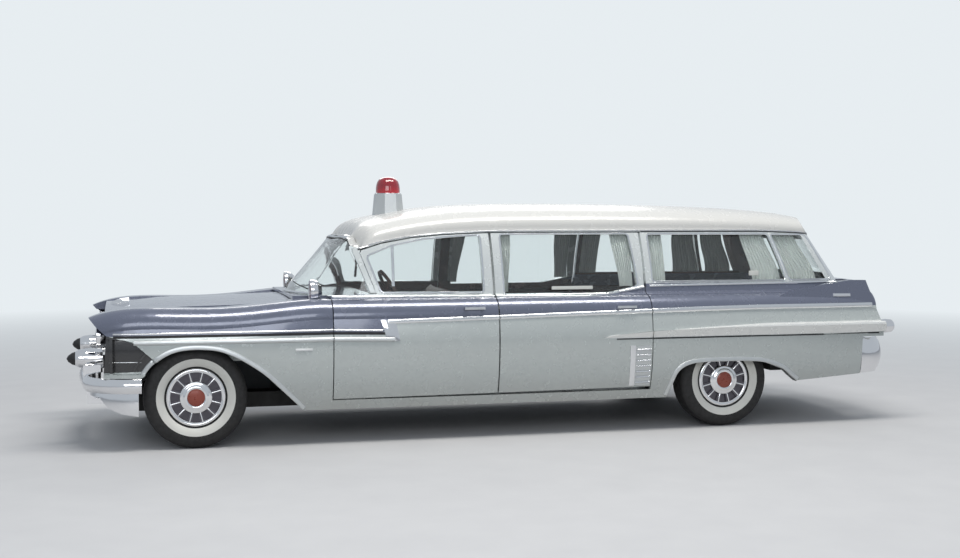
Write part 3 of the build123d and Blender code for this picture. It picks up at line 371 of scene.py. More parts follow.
def beacon_glass():
    """Red glass, brighter toward its foot."""
    shade = Shade("beacon_red", Coat_Weight=1.0, Roughness=0.12)
    lit = shade.held(shade.math("MULTIPLY_ADD", shade.place()[2], -9.0, 16.6))
    shade.color(shade.mix(lit, (0.22, 0.004, 0.012), (0.62, 0.012, 0.018)))
    shade.rough(0.08, 0.16, shade.noise(20.0))
    return shade.mat


beacon_red = beacon_glass()
dark_red_lens = plain("dark_red_lens", (0.20, 0.010, 0.010), (0.08, 0.16), 0.0, 60.0, 0.0004, 0.3, Coat_Weight=1.0)
lamp_front = plain("lamp_front", (0.62, 0.64, 0.64), (0.12, 0.22), 0.4, 160.0, 0.0010, 0.2, Coat_Weight=1.0)
white_lens = plain("white_lens", (0.75, 0.76, 0.76), (0.10, 0.18), 0.0, 20.0, 0.0002, 0.1, Coat_Weight=1.0)
hub_red = plain("hub_red", (0.33, 0.075, 0.050), (0.25, 0.35), 0.1, 40.0, 0.0003, 0.2)
plate_white = plain("plate_white", (0.66, 0.66, 0.63), (0.4, 0.5), 0.0, 30.0, 0.0002, 0.1)

finishes = {
    paint("paint_doors", "doors", lined_top=1.06): "door_front_left door_front_right door_rear_left door_rear_right",
    paint("paint_fender", "body"): "front_fenders",
    paint("paint_quarter", "body", lined_top=1.0): "quarter_panels",
    paint("paint_tail", "tail"): "tail_door",
    paint_frame: "body_frame",
    paint_roof: "roof_panel",
    paint("paint_hood", SLATE): "hood",
    paint("paint_cowl", "cowl"): "cowl",
    paint("paint_rocker", SILVER): "rocker_panels",
    glass: "windshield glass_front_left glass_front_right glass_rear_left glass_rear_right quarter_glass tail_glass",
    chrome: "front_bumper rear_bumper headlamps tail_lamps fender_lamps",
    silver_satin: "beacon_base",
    plain("grille_metal", (0.55, 0.55, 0.55), (0.18, 0.30), 1.0, 25.0, 0.0002, 0.1): "grille",
    black_rubber: "bumper_tips",
    beacon_red: "beacon_lens",
    plain("underbody_black", (0.020, 0.019, 0.018), (0.6, 0.8), 0.0, 18.0, 0.001, 0.3):
        "chassis_frame floor_pan fuel_tank exhaust rear_axle leaf_springs radiator knuckle_left knuckle_right",
    plain("cast_iron", (0.06, 0.065, 0.07), (0.5, 0.65), 0.6, 60.0, 0.001, 0.25): "engine_block",
    seat_leather: "front_seat",
    interior: "steering_wheel",
    curtain_cloth: "curtains_rear_left curtains_rear_right curtains_quarter",
}
for end_name, axle_x in (("front", front_axle_x), ("rear", rear_axle_x)):
    rubber = tyre_rubber("tyre_rubber_" + end_name, axle_x)
    finishes[rubber] = "tyre_END_left tyre_END_right".replace("END", end_name)
    cover = wheel_metal("wheel_metal_" + end_name, axle_x)
    finishes[cover] = "wheel_END_left wheel_END_right".replace("END", end_name)
for material, names in finishes.items():
    for name in names.split():
        nodes[name].data.materials.clear()
        nodes[name].data.materials.append(material)


# Mesh helpers

def linked(name, data):
    """A new object in the scene."""
    obj = bpy.data.objects.new(name, data)
    bpy.context.scene.collection.objects.link(obj)
    return obj


def chosen(obj):
    """Lets Blender's operators act on one object."""
    return bpy.context.temp_override(object=obj, active_object=obj, selected_editable_objects=[obj])


def carried(obj, body, crease):
    """Shades an object smooth up to an angle and puts it on its body."""
    with chosen(obj):
        bpy.ops.object.shade_smooth_by_angle(angle=math.radians(crease))
    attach(obj, body)
    return obj


def piece(name, verts, faces, body, material, turned=True):
    """A mesh that rides on a body, its faces turned outward unless they are so already."""
    mesh = bpy.data.meshes.new(name)
    mesh.from_pydata([tuple(v) for v in verts], [], faces)
    mesh.validate()
    if turned:
        work = bmesh.new()
        work.from_mesh(mesh)
        bmesh.ops.recalc_face_normals(work, faces=work.faces)
        work.to_mesh(mesh)
        work.free()
    mesh.materials.append(material)
    return carried(linked(name, mesh), body, 38)


def grid_faces(rows, columns, wrap_rows=False, wrap_columns=False):
    """Quads between the rows and columns of a grid of vertices."""
    faces = []
    for i in range(rows if wrap_rows else rows - 1):
        for j in range(columns if wrap_columns else columns - 1):
            a = i * columns + j
            b = i * columns + (j + 1) % columns
            c = ((i + 1) % rows) * columns + (j + 1) % columns
            d = ((i + 1) % rows) * columns + j
            faces.append((a, b, c, d))
    return faces


def shell_faces(rows, columns):
    """Faces of two grids of points, one under the other, closed round their edges."""
    count = rows * columns
    top = grid_faces(rows, columns)
    rim = list(range(columns)) + [i * columns + columns - 1 for i in range(1, rows)]
    rim += [(rows - 1) * columns + j for j in range(columns - 2, -1, -1)]
    rim += [i * columns for i in range(rows - 2, 0, -1)]
    edge = [(b, a, count + a, count + b) for a, b in zip(rim, rim[1:] + rim[:1])]
    return top + [tuple(count + i for i in reversed(face)) for face in top] + edge


def heading(line, i, closed):
    """The direction of a line at one of its points."""
    before = line[i - 1] if i or closed else line[i]
    after = line[(i + 1) % len(line)] if i + 1 < len(line) or closed else line[i]
    return (after - before).normalized()


def swept(name, spine, outs, profile, body, material, closed=False):
    """A profile pushed along a spine. The profile's points are (across, out)."""
    verts = []
    count = len(spine)
    for i, (point, out) in enumerate(zip(spine, outs)):
        along = heading(spine, i, closed)
        across = out.cross(along).normalized()
        lift = along.cross(across).normalized()
        for a, o in profile:
            verts.append(point + across * a + lift * o)
    ring = len(profile)
    faces = grid_faces(count, ring, closed, True)
    if not closed:
        faces += [tuple(range(ring)), tuple(range((count - 1) * ring, count * ring))]
    return piece(name, verts, faces, body, material)


# How far a moulding's foot goes into the skin, and how much its edges are eased
sunk = 0.002
eased = 0.002


def half_round(width, height):
    """A low rounded moulding, seen from its end."""
    half = width / 2
    angles = [math.pi * i / 6 for i in range(7)]
    return [(-half, -sunk)] + [(-math.cos(a) * half, math.sin(a) * height) for a in angles] + [(half, -sunk)]


def flat_band(width, height, sink=sunk):
    """A flat moulding with eased edges."""
    half = width / 2
    return [(-half, -sink), (-half, height - eased), (-half + eased, height), (half - eased, height),
            (half, height - eased), (half, -sink)]


def resampled(points, step):
    """The same line of x, z points, divided into short runs."""
    line = [Vector(p) for p in points]
    result = [line[0]]
    for a, b in zip(line, line[1:]):
        runs = max(1, round((b - a).length / step))
        for i in range(1, runs + 1):
            result.append(a.lerp(b, i / runs))
    return [tuple(p) for p in result]


def rounded(points, reach, steps=5, closed=False):
    """A line of x, z points with its corners rounded."""
    line = [Vector(p) for p in points]
    count = len(line)
    result = []
    for i, corner in enumerate(line):
        if not closed and i in (0, count - 1):
            result.append(tuple(corner))
            continue
        a = line[i - 1] - corner
        b = line[(i + 1) % count] - corner
        cut = min(reach, a.length * 0.45, b.length * 0.45)
        start = corner + a.normalized() * cut
        end = corner + b.normalized() * cut
        for s in range(steps + 1):
            t = s / steps
            result.append(tuple(start * (1 - t) ** 2 + corner * 2 * t * (1 - t) + end * t ** 2))
    return result


def shifted(points, distance, closed=False):
    """A line of x, z points moved to its left by a distance."""
    line = [Vector(p) for p in points]
    ways = [heading(line, i, closed) for i in range(len(line))]
    return [tuple(p + Vector((-along.y, along.x)) * distance) for p, along in zip(line, ways)]


def tree_of(obj):
    return BVHTree.FromPolygons([v.co for v in obj.data.vertices], [f.vertices for f in obj.data.polygons])


def hits(trees, start, way, length):
    """Where a ray meets each of some meshes."""
    found = [tree.ray_cast(Vector(start), Vector(way), length)[0] for tree in trees]
    return [hit for hit in found if hit]


class Skin:
    """Finds the outer face of the car's side on some of its CAD nodes."""

    def __init__(self, *names):
        self.trees = [tree_of(nodes[name]) for name in names]

    def reach(self, x, z, side):
        """How far out from the middle plane the skin lies, or None past its edge."""
        return max((abs(hit.y) for hit in hits(self.trees, (x, side * 1.5, z), (0, -side, 0), 1.45)), default=None)

    def follow(self, points, side, probe=None):
        """The line on the skin, and the skin's outward direction along it."""
        probe = probe or points
        spine, outs = [], []
        last = None
        for (x, z), (px, pz) in zip(points, probe):
            y = self.reach(px, pz, side)
            if y is None:
                y = last
            if y is None:
                continue
            low = self.reach(px, pz - 0.012, side)
            high = self.reach(px, pz + 0.012, side)
            slope = 0.0
            if low is not None and high is not None and abs(high - low) < 0.03:
                slope = (high - low) / 0.024
            elif high is not None and abs(high - y) < 0.015:
                slope = (high - y) / 0.012
            elif low is not None and abs(low - y) < 0.015:
                slope = (y - low) / 0.012
            last = y
            spine.append(Vector((x, side * y, z)))
            outs.append(Vector((0, side, -slope)).normalized())
        return spine, outs


def side_name(side):
    return "left" if side > 0 else "right"


def side_strip(name, skin, body, points, profile, material, slot="bright_metal", step=0.03, closed=False,
               probe_shift=0.0, upright=False):
    """A moulding laid on the skin of both sides of the car."""
    for side in (1, -1):
        line = resampled(points + points[:1] if closed else points, step)
        if closed:
            line = line[:-1]
        probe = shifted(line, probe_shift, closed) if probe_shift else None
        spine, outs = skin.follow(line, side, probe)
        if upright:
            outs = [Vector((0, side, 0)) for _ in outs]
        shape = [(side * a, o) for a, o in profile]
        target = body.replace("SIDE", side_name(side))
        swept(name + "_" + side_name(side), spine, outs, shape, target, material, closed)


def revolved(name, rows, centre, side, body, material, segments, axis="Y"):
    """A lathe shape about an axle. Rows: radius, distance outward."""
    verts = []
    for radius, out in rows:
        for s in range(segments):
            angle = 2 * math.pi * s / segments
            c, n = radius * math.cos(angle), radius * math.sin(angle)
            offset = {"X": (side * out, c, n), "Y": (c, side * out, n), "Z": (c, n, side * out)}[axis]
            verts.append(centre + Vector(offset))
    return piece(name, verts, grid_faces(len(rows), segments, False, True), body, material)


def rounded_block(name, low, high, radius, body, material):
    """A block with eased edges, given by its two corners."""
    mesh = bpy.data.meshes.new(name)
    corners = [(x, y, z) for x in (low[0], high[0]) for y in (low[1], high[1]) for z in (low[2], high[2])]
    faces = [(0, 1, 3, 2), (4, 6, 7, 5), (0, 4, 5, 1), (2, 3, 7, 6), (0, 2, 6, 4), (1, 5, 7, 3)]
    mesh.from_pydata(corners, [], faces)
    mesh.materials.append(material)
    obj = linked(name, mesh)
    bevel = obj.modifiers.new("edges", "BEVEL")
    bevel.width = radius
    bevel.segments = 3
    with chosen(obj):
        bpy.ops.object.modifier_apply(modifier=bevel.name)
    return carried(obj, body, 40)


# Tyres and wheel covers

tyre_rows = [
    (0.1974, -0.058), (0.205, -0.074), (0.214, -0.088), (0.232, -0.101), (0.258, -0.1065), (0.285, -0.1075),
    (0.310, -0.1035), (0.330, -0.096), (0.342, -0.087), (0.349, -0.079),
]
groove_at = (-0.052, -0.026, 0.0, 0.026, 0.052)
groove_depth = 0.007
tread_half = 0.074
tread_crown = 0.0035


def tread_rows():
    """The tread's rows, with straight grooves round the tyre."""
    edges = [(-tread_half, 0)]
    for g in groove_at:
        edges += [(g - 0.0035, 0), (g - 0.0025, 1), (g + 0.0025, 1), (g + 0.0035, 0)]
    return [(tyre_radius - tread_crown * (at / tread_half) ** 2 - groove_depth * deep, at)
            for at, deep in edges + [(tread_half, 0)]]


cover_rows = [
    (0.206, 0.060), (0.2075, 0.070), (0.206, 0.080), (0.201, 0.087), (0.195, 0.0915), (0.189, 0.0925), (0.183, 0.0910),
    (0.178, 0.0875),
]
dish_rows = [
    (0.1115, 0.0875), (0.108, 0.0935), (0.101, 0.0965), (0.094, 0.0968), (0.089, 0.0978), (0.084, 0.1008),
    (0.080, 0.1035), (0.074, 0.1055), (0.066, 0.1058), (0.0625, 0.1035), (0.061, 0.1030),
]
hub_rows = [(0.0612, 0.1020), (0.058, 0.1055), (0.045, 0.1090), (0.028, 0.1115), (0.012, 0.1130), (0.0005, 0.1135)]
pocket_count = 12
rib_section = [(-0.0050, 0.0870), (-0.0038, 0.0905), (-0.0012, 0.0920), (0.0012, 0.0920), (0.0038, 0.0905),
               (0.0050, 0.0870)]
rib_stations = [(0.110, -0.002), (0.118, 0.0), (0.168, 0.0), (0.180, -0.001)]


def build_wheel(end_name, axle_x, side):
    """A tyre, and the cover's rolled rim, ring, plain hub and ribs between its pockets."""
    tag = end_name + "_" + side_name(side)
    body = "wheel_" + tag
    centre = Vector((axle_x, side * half_track, axle_z))
    rows = tyre_rows + tread_rows() + [(r, -y) for r, y in reversed(tyre_rows)]
    rubber = nodes["tyre_" + tag].data.materials[0]
    tyre = revolved("rubber_tyre_" + tag, rows, centre, side, body, rubber, 96)
    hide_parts("tyre_" + tag)
    revolved("cover_rim_" + tag, cover_rows, centre, side, body, chrome, 96)
    revolved("cover_ring_" + tag, dish_rows, centre, side, body, chrome, 72)
    revolved("cover_hub_" + tag, hub_rows, centre, side, body, hub_red, 48)
    verts, faces = [], []
    for k in range(pocket_count):
        angle = 2 * math.pi * (k + 0.5) / pocket_count
        c, n = math.cos(angle), math.sin(angle)
        faces += [tuple(len(verts) + i for i in f) for f in grid_faces(len(rib_stations), len(rib_section))]
        for r, lift in rib_stations:
            for t, out in rib_section:
                verts.append(centre + Vector((c * r - n * t, side * (out + lift), n * r + c * t)))
    piece("cover_ribs_" + tag, verts, faces, body, chrome)


for end_name, axle_x in (("front", front_axle_x), ("rear", rear_axle_x)):
    for side in (1, -1):
        build_wheel(end_name, axle_x, side)

# Mouldings along the sides and under the windows. Each run: x and height of its middle

fender_skin = Skin("front_fenders")
door_front_skin = Skin("door_front_left", "door_front_right")
door_rear_skin = Skin("door_rear_left", "door_rear_right")
quarter_skin = Skin("quarter_panels")
frame_skin = Skin("body_frame", "roof_panel")
upper_skin = Skin("body_frame")

fender_end = cowl_seam_x + seam_half
front_door_start = cowl_seam_x - seam_half
front_door_end = door_seam_x + seam_half
rear_door_start = door_seam_x - seam_half
rear_door_end = quarter_seam_x + seam_half
quarter_start = quarter_seam_x - seam_half
on_fender = (fender_skin, "car_body")
on_front_door = (door_front_skin, "door_front_SIDE")
on_rear_door = (door_rear_skin, "door_rear_SIDE")
on_quarter = (quarter_skin, "car_body")
shadow = flat_band(0.018, 0.0025)
brow = half_round(0.014, 0.007)
ridge = half_round(0.034, 0.012)

side_runs = [
    ("upper_moulding_rear_door", on_rear_door, [(rear_door_start, 0.878), (rear_door_end, 0.904)],
     half_round(0.034, 0.011), bright),
    ("upper_moulding_quarter", on_quarter,
     [(quarter_start, 0.904), (-1.425, 0.912), (-1.92, 0.918), (-2.90, 0.918)], half_round(0.038, 0.012), bright),
    ("upper_moulding_front_door", on_front_door, [(0.950, 0.862), (front_door_end, 0.878)],
     half_round(0.034, 0.011), bright),
    ("brow_strip_fender", on_fender, [(2.825, 0.806), (1.352, 0.812), (fender_end, 0.812)], brow, chrome),
    ("brow_strip_door", on_front_door, [(front_door_start, 0.812), (0.990, 0.802)], brow, chrome),
    # Dark strips of painted shadow under the brow's overhang
    ("brow_shadow_fender", on_fender, [(2.825, 0.786), (1.352, 0.789), (fender_end, 0.789)], shadow, painted_shadow),
    ("brow_shadow_door", on_front_door, [(front_door_start, 0.789), (0.975, 0.781)], shadow, painted_shadow),
    ("ridge_fender", on_fender, [(2.690, 0.746), (1.352, 0.747), (fender_end, 0.747)], ridge, silver_satin),
    ("ridge_door", on_front_door, [(front_door_start, 0.747), (0.905, 0.738)], ridge, silver_satin),
    # Dark strips of painted shadow under the spear
    ("spear_shadow_door", on_rear_door, [(-0.760, 0.700), (rear_door_end, 0.700)], flat_band(0.010, 0.0015),
     painted_shadow),
    ("spear_shadow_quarter", on_quarter, [(quarter_start, 0.700), (-2.96, 0.698)], flat_band(0.012, 0.0015),
     painted_shadow),
    ("belt_front_door", on_front_door, rounded([(1.325, 1.034), (0.84, 1.032), (0.145, 1.022)], 0.08),
     half_round(0.022, 0.009), bright),
    ("belt_rear_door", on_rear_door,
     rounded([(0.125, 1.022), (-0.57, 1.014), (-0.727, 1.024), (-0.885, 1.050), (-1.036, 1.075)], 0.08),
     half_round(0.022, 0.009), bright),
    ("belt_quarter", (Skin("quarter_panels", "body_frame"), "car_body"),
     [(-1.054, 1.081), (-1.40, 1.086), (-2.00, 1.090), (-2.62, 1.094)], half_round(0.020, 0.008), bright),
]
for name, place, points, profile, material in side_runs:
    side_strip(name, *place, points, profile, material)

# Window frames. Each outline: x, z, clockwise from the front's lower corner
front_window = [(0.215, 1.058), (0.972, 1.066), (1.060, 1.320), (0.957, 1.356), (0.876, 1.388), (0.661, 1.430),
                (0.435, 1.452), (0.215, 1.466)]
rear_window = [(0.058, 1.034), (0.058, 1.468), (-0.952, 1.470), (-0.985, 1.084), (-0.905, 1.064), (-0.760, 1.036)]
quarter_window = [(-1.110, 1.120), (-1.110, 1.466), (-2.120, 1.464), (-2.226, 1.118)]
small_window = [(-2.256, 1.118), (-2.150, 1.464), (-2.440, 1.458), (-2.614, 1.118)]


def turned_left(points):
    """The outline, made to run so that its outside is on its left."""
    area = sum(a[0] * b[1] - b[0] * a[1] for a, b in zip(points, points[1:] + points[:1]))
    return points if area < 0 else list(reversed(points))


for name, place, outline in (
    ("frame_front_door", on_front_door, front_window),
    ("frame_rear_door", on_rear_door, rear_window),
    ("frame_quarter", (upper_skin, "car_body"), quarter_window),
    ("frame_small", (upper_skin, "car_body"), small_window),
):
    loop = rounded(shifted(turned_left(outline), 0.007, True), 0.03, 4, True)
    side_strip(name, *place, loop, flat_band(0.014, 0.004), bright, step=0.04, closed=True, probe_shift=0.004)

# Drip rail between the roof and the side, with a dark strip of painted shadow under it
drip_line = [(1.170, 1.372), (1.092, 1.384), (0.953, 1.427), (0.731, 1.466), (0.506, 1.487), (0.125, 1.503),
             (-2.070, 1.503), (-2.417, 1.489), (-2.545, 1.471)]
for name, drop, profile, material, slot in (
    ("drip_rail", 0.004, half_round(0.012, 0.010), bright, "bright_metal"),
    ("drip_shadow", 0.014, flat_band(0.007, 0.0025), painted_shadow, None),
):
    line = rounded([(x, z - drop) for x, z in drip_line], 0.1)
    side_strip(name, frame_skin, "car_body", line, profile, material, slot)

# Wheel arch lips
arch_front = [(2.623, 0.518), (2.578, 0.583), (2.512, 0.636), (2.446, 0.671), (2.380, 0.689), (2.288, 0.697),
              (2.181, 0.691), (2.114, 0.679), (2.013, 0.639), (1.911, 0.578), (1.809, 0.506), (1.706, 0.406),
              (1.603, 0.306), (1.553, 0.252)]
arch_rear = [(-1.191, 0.260), (-1.223, 0.348), (-1.255, 0.437), (-1.304, 0.480), (-1.376, 0.504), (-1.506, 0.512),
             (-1.753, 0.512), (-1.918, 0.504), (-2.002, 0.487), (-2.128, 0.441), (-2.195, 0.385), (-2.255, 0.341)]
lip_band = [(-0.017, -0.010), (-0.017, 0.004), (-0.013, 0.008), (0.004, 0.0085), (0.013, 0.005), (0.017, -0.002)]
for name, place, arch in (("arch_lip_front", on_fender, arch_front), ("arch_lip_rear", on_quarter, arch_rear)):
    lip = shifted(rounded(arch, 0.05), -0.0165)
    side_strip(name, *place, lip, lip_band, silver_satin, step=0.02, probe_shift=-0.012, upright=True)


def plate_on_skin(name, skin, body, corners, lift, material):
    """A plate over four corners of the skin, on both sides of the car."""
    count = 6
    a, b, c, d = [Vector(p) for p in corners]
    for side in (1, -1):
        verts = []
        for layer in (lift, -0.004):
            for i in range(count):
                for j in range(count):
                    u, v = i / (count - 1), j / (count - 1)
                    p = (a * (1 - u) + b * u) * (1 - v) + (d * (1 - u) + c * u) * v
                    edge = min(u, 1 - u, v, 1 - v) < 0.01 and layer > 0
                    y = skin.reach(p.x, p.y, side) or 0.95
                    verts.append((p.x, side * (y + layer - (0.002 if edge else 0)), p.y))
        piece(name + "_" + side_name(side), verts, shell_faces(count, count), body.replace("SIDE", side_name(side)),
              material)


# Block where the slate colour steps down on the front door, bare badges and the louvred trim. Corners: x, z
for name, place, corners, lift, material in (
    ("step_block", on_front_door, [(1.004, 0.876), (0.900, 0.876), (0.868, 0.728), (0.958, 0.728)], 0.008, chrome),
    ("fender_bar", on_fender, [(1.606, 0.688), (1.488, 0.688), (1.488, 0.670), (1.606, 0.670)], 0.007, white_lens),
    ("fin_badge", on_quarter, [(-2.573, 1.008), (-2.721, 1.006), (-2.721, 0.984), (-2.573, 0.986)], 0.006, chrome),
    ("louvre_panel", on_rear_door, [(-0.910, 0.640), (-1.030, 0.652), (-1.034, 0.350), (-0.910, 0.350)], 0.003,
     silver_satin),
    ("louvre_post", on_rear_door, [(-0.868, 0.650), (-0.908, 0.650), (-0.910, 0.346), (-0.872, 0.346)], 0.008,
     bright),
):
    plate_on_skin(name, *place, corners, lift, material)
louvre_count = 7
for k in range(louvre_count):
    z = 0.372 + k * 0.041
    line = [(-0.916, z), (-1.030, z + 0.002)]
    side_strip("louvre_" + str(k), *on_rear_door, line, half_round(0.016, 0.014), bright)

# Vent window post on the front door
vent_x = (0.872, 0.881)
for side in (1, -1):
    skin = Skin("glass_front_" + side_name(side))
    spine, outs = skin.follow(resampled([(vent_x[1], 1.060), (vent_x[0], 1.395)], 0.04), side)
    body = "door_front_" + side_name(side)
    swept("vent_post_" + side_name(side), spine, outs, flat_band(0.020, 0.008, 0.006), body, bright)


# Curtains: gathered cloth hung behind the rear windows
curtain_rows = 22
curtain_fold = 0.0095
curtain_set_back = 0.0135


def curtain(name, node, body, side, top, bottom, height, pleats):
    """A curtain gathered on a rail. Top and bottom: x of its two edges."""
    skin = Skin(node)
    columns = pleats * 10 + 1
    verts = []
    for i in range(curtain_rows):
        v = i / (curtain_rows - 1)
        z = height[1] + (height[0] - height[1]) * v
        ease = v * v * (3 - 2 * v)
        left = top[0] + (bottom[0] - top[0]) * ease
        right = top[1] + (bottom[1] - top[1]) * ease
        probe_z = min(max(z, height[0] + 0.004), height[1] - 0.004)
        face = skin.reach((top[0] + bottom[0] + top[1] + bottom[1]) / 4, probe_z, side) or 0.75
        for j in range(columns):
            u = j / (columns - 1)
            wobble = 0.35 * math.sin(5.1 * u * pleats + 1.7) + 0.25 * math.sin(2.3 * u * pleats + 4 * v)
            wave = math.sin(2 * math.pi * pleats * u + wobble * v)
            lift = curtain_fold * (0.75 + 0.25 * v) * wave * (0.85 + 0.15 * math.sin(3.7 * u * pleats))
            verts.append((left + (right - left) * u, side * (face - curtain_set_back + lift), z))
    mesh = piece(name, verts, grid_faces(curtain_rows, columns), body, curtain_cloth)
    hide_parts(node)


# Rows: name, node, body, x at the top, x at the foot, heights, pleats, flat size
door_curtain = ("curtains_rear_SIDE", "door_rear_SIDE")
body_curtain = ("curtains_quarter", "car_body")
curtain_table = [
    ("door_fore", *door_curtain, (0.066, -0.036), (0.066, 0.012), (1.050, 1.468), 8, (0.28, 0.418)),
    ("door_aft", *door_curtain, (-0.825, -0.970), (-0.862, -0.970), (1.080, 1.468), 8, (0.28, 0.388)),
    ("quarter_fore", *body_curtain, (-1.090, -1.245), (-1.090, -1.240), (1.116, 1.474), 8, (0.28, 0.358)),
    ("quarter_aft", *body_curtain, (-1.905, -2.105), (-1.965, -2.205), (1.116, 1.474), 9, (0.40, 0.362)),
    ("small", *body_curtain, (-2.172, -2.375), (-2.275, -2.515), (1.116, 1.474), 9, (0.40, 0.366)),
]
for side in (1, -1):
    tag = side_name(side)
    for name, node, body, top, bottom, height, pleats, flat in curtain_table:
        curtain("curtain_" + name + "_" + tag, node.replace("SIDE", tag), body.replace("SIDE", tag), side,
                top, bottom, height, pleats)

# Roof and windshield head: the head leans further back than in the CAD, and the roof is one smooth skin

def blend_curve(points, x):
    """A smooth line through x, value points."""
    line = sorted(points)
    for i in range(len(line) - 1):
        if x <= line[i + 1][0] or i == len(line) - 2:
            break
    (x0, v0), (x1, v1) = line[i], line[i + 1]
    before = line[i - 1] if i else (2 * x0 - x1, 2 * v0 - v1)
    after = line[i + 2] if i + 2 < len(line) else (2 * x1 - x0, 2 * v1 - v0)
    m0 = (v1 - before[1]) / (x1 - before[0])
    m1 = (after[1] - v0) / (after[0] - x0)
    t = (x - x0) / (x1 - x0)
    h = x1 - x0
    return ((2 * t**3 - 3 * t**2 + 1) * v0 + (t**3 - 2 * t**2 + t) * h * m0 + (3 * t**2 - 2 * t**3) * v1
            + (t**3 - t**2) * h * m1)


head_z = 1.462
foot_z = 1.035
lean_back = 0.063
crown_heights = [(0.97, 1.5955), (0.70, 1.6475), (0.35, 1.6895), (-0.15, 1.7055), (-0.90, 1.7025), (-1.60, 1.6875),
                 (-2.15, 1.6585), (-2.64, 1.6075)]
spring_heights = [(1.09, 1.390), (0.97, 1.424), (0.70, 1.470), (0.35, 1.497), (-0.15, 1.508), (-0.90, 1.512),
                  (-1.60, 1.509), (-2.15, 1.497), (-2.64, 1.468)]
opening = [(0.0, 1.462), (0.43, 1.462), (0.53, 1.438), (0.60, 1.400), (0.69, 1.362), (0.76, 1.335)]


def leaned(p):
    """A point of the windshield's head, moved back."""
    rise = min(max((p.z - foot_z) / (head_z - foot_z), 0.0), 1.15)
    near = min(max((p.x - 0.98) / 0.12, 0.0), 1.0)
    across = min(max((0.64 - abs(p.y)) / 0.20, 0.0), 1.0)
    ease = across * across * (3 - 2 * across)
    return Vector((p.x - lean_back * rise * near * ease, p.y, p.z))


def leaned_copy(name, node, material):
    """A piece like a CAD node, with the windshield's head moved back."""
    mesh = nodes[node].data
    verts = [leaned(v.co) for v in mesh.vertices]
    obj = piece(name, verts, [tuple(f.vertices) for f in mesh.polygons], "car_body", material, False)
    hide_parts(node)
    return obj


def height_on(points, y):
    """The height of a line of y, z points."""
    for (a, low), (b, high) in zip(points, points[1:]):
        if y <= b:
            return low + (high - low) * (y - a) / (b - a)
    return points[-1][1]


pane = leaned_copy("windshield_pane", "windshield", glass)
frame_copy = leaned_copy("frame_skin", "body_frame", paint_frame)
front_trees = [tree_of(pane), tree_of(frame_copy)]


def front_face(y, z):
    """How far forward the windshield or its frame lies."""
    return max((hit.x for hit in hits(front_trees, (2.2, y, z), (-1, 0, 0), 1.4)), default=None)


half_columns = 24
steps_across = [math.pi * j / (2 * half_columns) for j in range(2 * half_columns + 1)]


def drip_at(x):
    return height_on(sorted(drip_heights), x) - 0.006


# The roof's section: half its width at a height, how much its sides lean in, and how square it is
side_width, side_height, side_lean = 0.712, 1.480, 0.36
square_sides, square_crown = 3.3, 2.5
front_row_x = 0.98
last_row_x = -2.36
edge_half = 0.69


def half_width(spring):
    return side_width - side_lean * (spring - side_height)


def roof_row(x, inset=0.0):
    """Points across the roof at a distance along the car."""
    spring = blend_curve(spring_heights, x)
    crown = blend_curve(crown_heights, x) - inset
    width = half_width(spring) - inset
    row = []
    for angle in steps_across:
        c, n = math.cos(angle), math.sin(angle)
        y = width * math.copysign(abs(c) ** (2 / square_sides), c)
        row.append(Vector((x, y, spring + (crown - spring) * abs(n) ** (2 / square_crown))))
    foot = drip_at(x)
    wide = width + side_lean * (spring - foot)
    return [Vector((x, wide, foot))] + row + [Vector((x, -wide, foot))]


def edge_row():
    """The roof's front edge, over the windshield."""
    width = half_width(blend_curve(spring_heights, front_row_x))
    row = []
    for p in roof_row(front_row_x):
        y = p.y / width * edge_half
        z = height_on(opening, abs(y)) - 0.002
        x = front_face(y, z)
        if x is None:
            x = front_face(y, z - 0.01) or 1.10
        row.append(Vector((x + 0.004, y, z)))
    return row


def roof_rows(inset):
    """The roof's rows from its front edge back, the first ones drawn as curves down to the edge."""
    body_row = roof_row(front_row_x, inset)
    behind = roof_row(front_row_x - 0.08, inset)
    front = [p + Vector((-inset * 0.6, 0, -inset * 0.3)) for p in edge_row()]
    rows = []
    for k in range(11):
        t = k / 11
        row = []
        for a, d, e in zip(front, body_row, behind):
            middle = 1 - min(abs(a.y) / edge_half, 1.0) ** 2
            b = a + Vector((-0.012 - 0.008 * middle, 0, 0.024 + 0.060 * middle))
            slope = (d - e) / 0.08
            c = d + slope * (a.x - d.x) * 0.60
            row.append(a * (1 - t) ** 3 + b * 3 * t * (1 - t) ** 2 + c * 3 * t * t * (1 - t) + d * t ** 3)
        rows.append(row)
    x = front_row_x
    while x > last_row_x:
        rows.append(roof_row(x, inset))
        x -= 0.06
    return rows


tail_trees = [tree_of(nodes["roof_panel"]), front_trees[1]]


def tail_face(y, z):
    """How far back the roof's rear edge lies."""
    return min((hit.x for hit in hits(tail_trees, (-3.2, y, z), (1, 0, 0), 1.2)), default=None)


def rear_rows(inset):
    """The roof's last rows, drawn in to its rear edge."""
    ends = []
    for j in range(len(steps_across) + 2):
        x = -2.45
        for _ in range(12):
            p = roof_row(x, inset)[j]
            found = tail_face(p.y * 0.985, p.z - 0.008)
            if found is not None and found < -2.2:
                x = 0.5 * x + 0.5 * found
        ends.append(x)
    smooth = list(ends)
    for _ in range(4):
        smooth = [smooth[0]] + [(a + 2 * b + c) / 4 for a, b, c in zip(smooth, smooth[1:], smooth[2:])] + [smooth[-1]]
    rows = []
    for k in range(1, 5):
        rows.append([roof_row(last_row_x + (end - last_row_x) * k / 4, inset)[j] for j, end in enumerate(smooth)])
    return rows


def relaxed(rows, last, rounds):
    """Evens the roof out behind its front edge, less and less toward a last row."""
    for _ in range(rounds):
        fresh = [list(row) for row in rows]
        for i in range(1, last):
            pull = 0.8 * min(1.0, (last - i) / 6)
            for j in range(1, len(rows[i]) - 1):
                around = (rows[i - 1][j] + rows[i + 1][j] + rows[i][j - 1] + rows[i][j + 1]) / 4
                fresh[i][j] = rows[i][j].lerp(around, pull)
        rows = fresh
    return rows


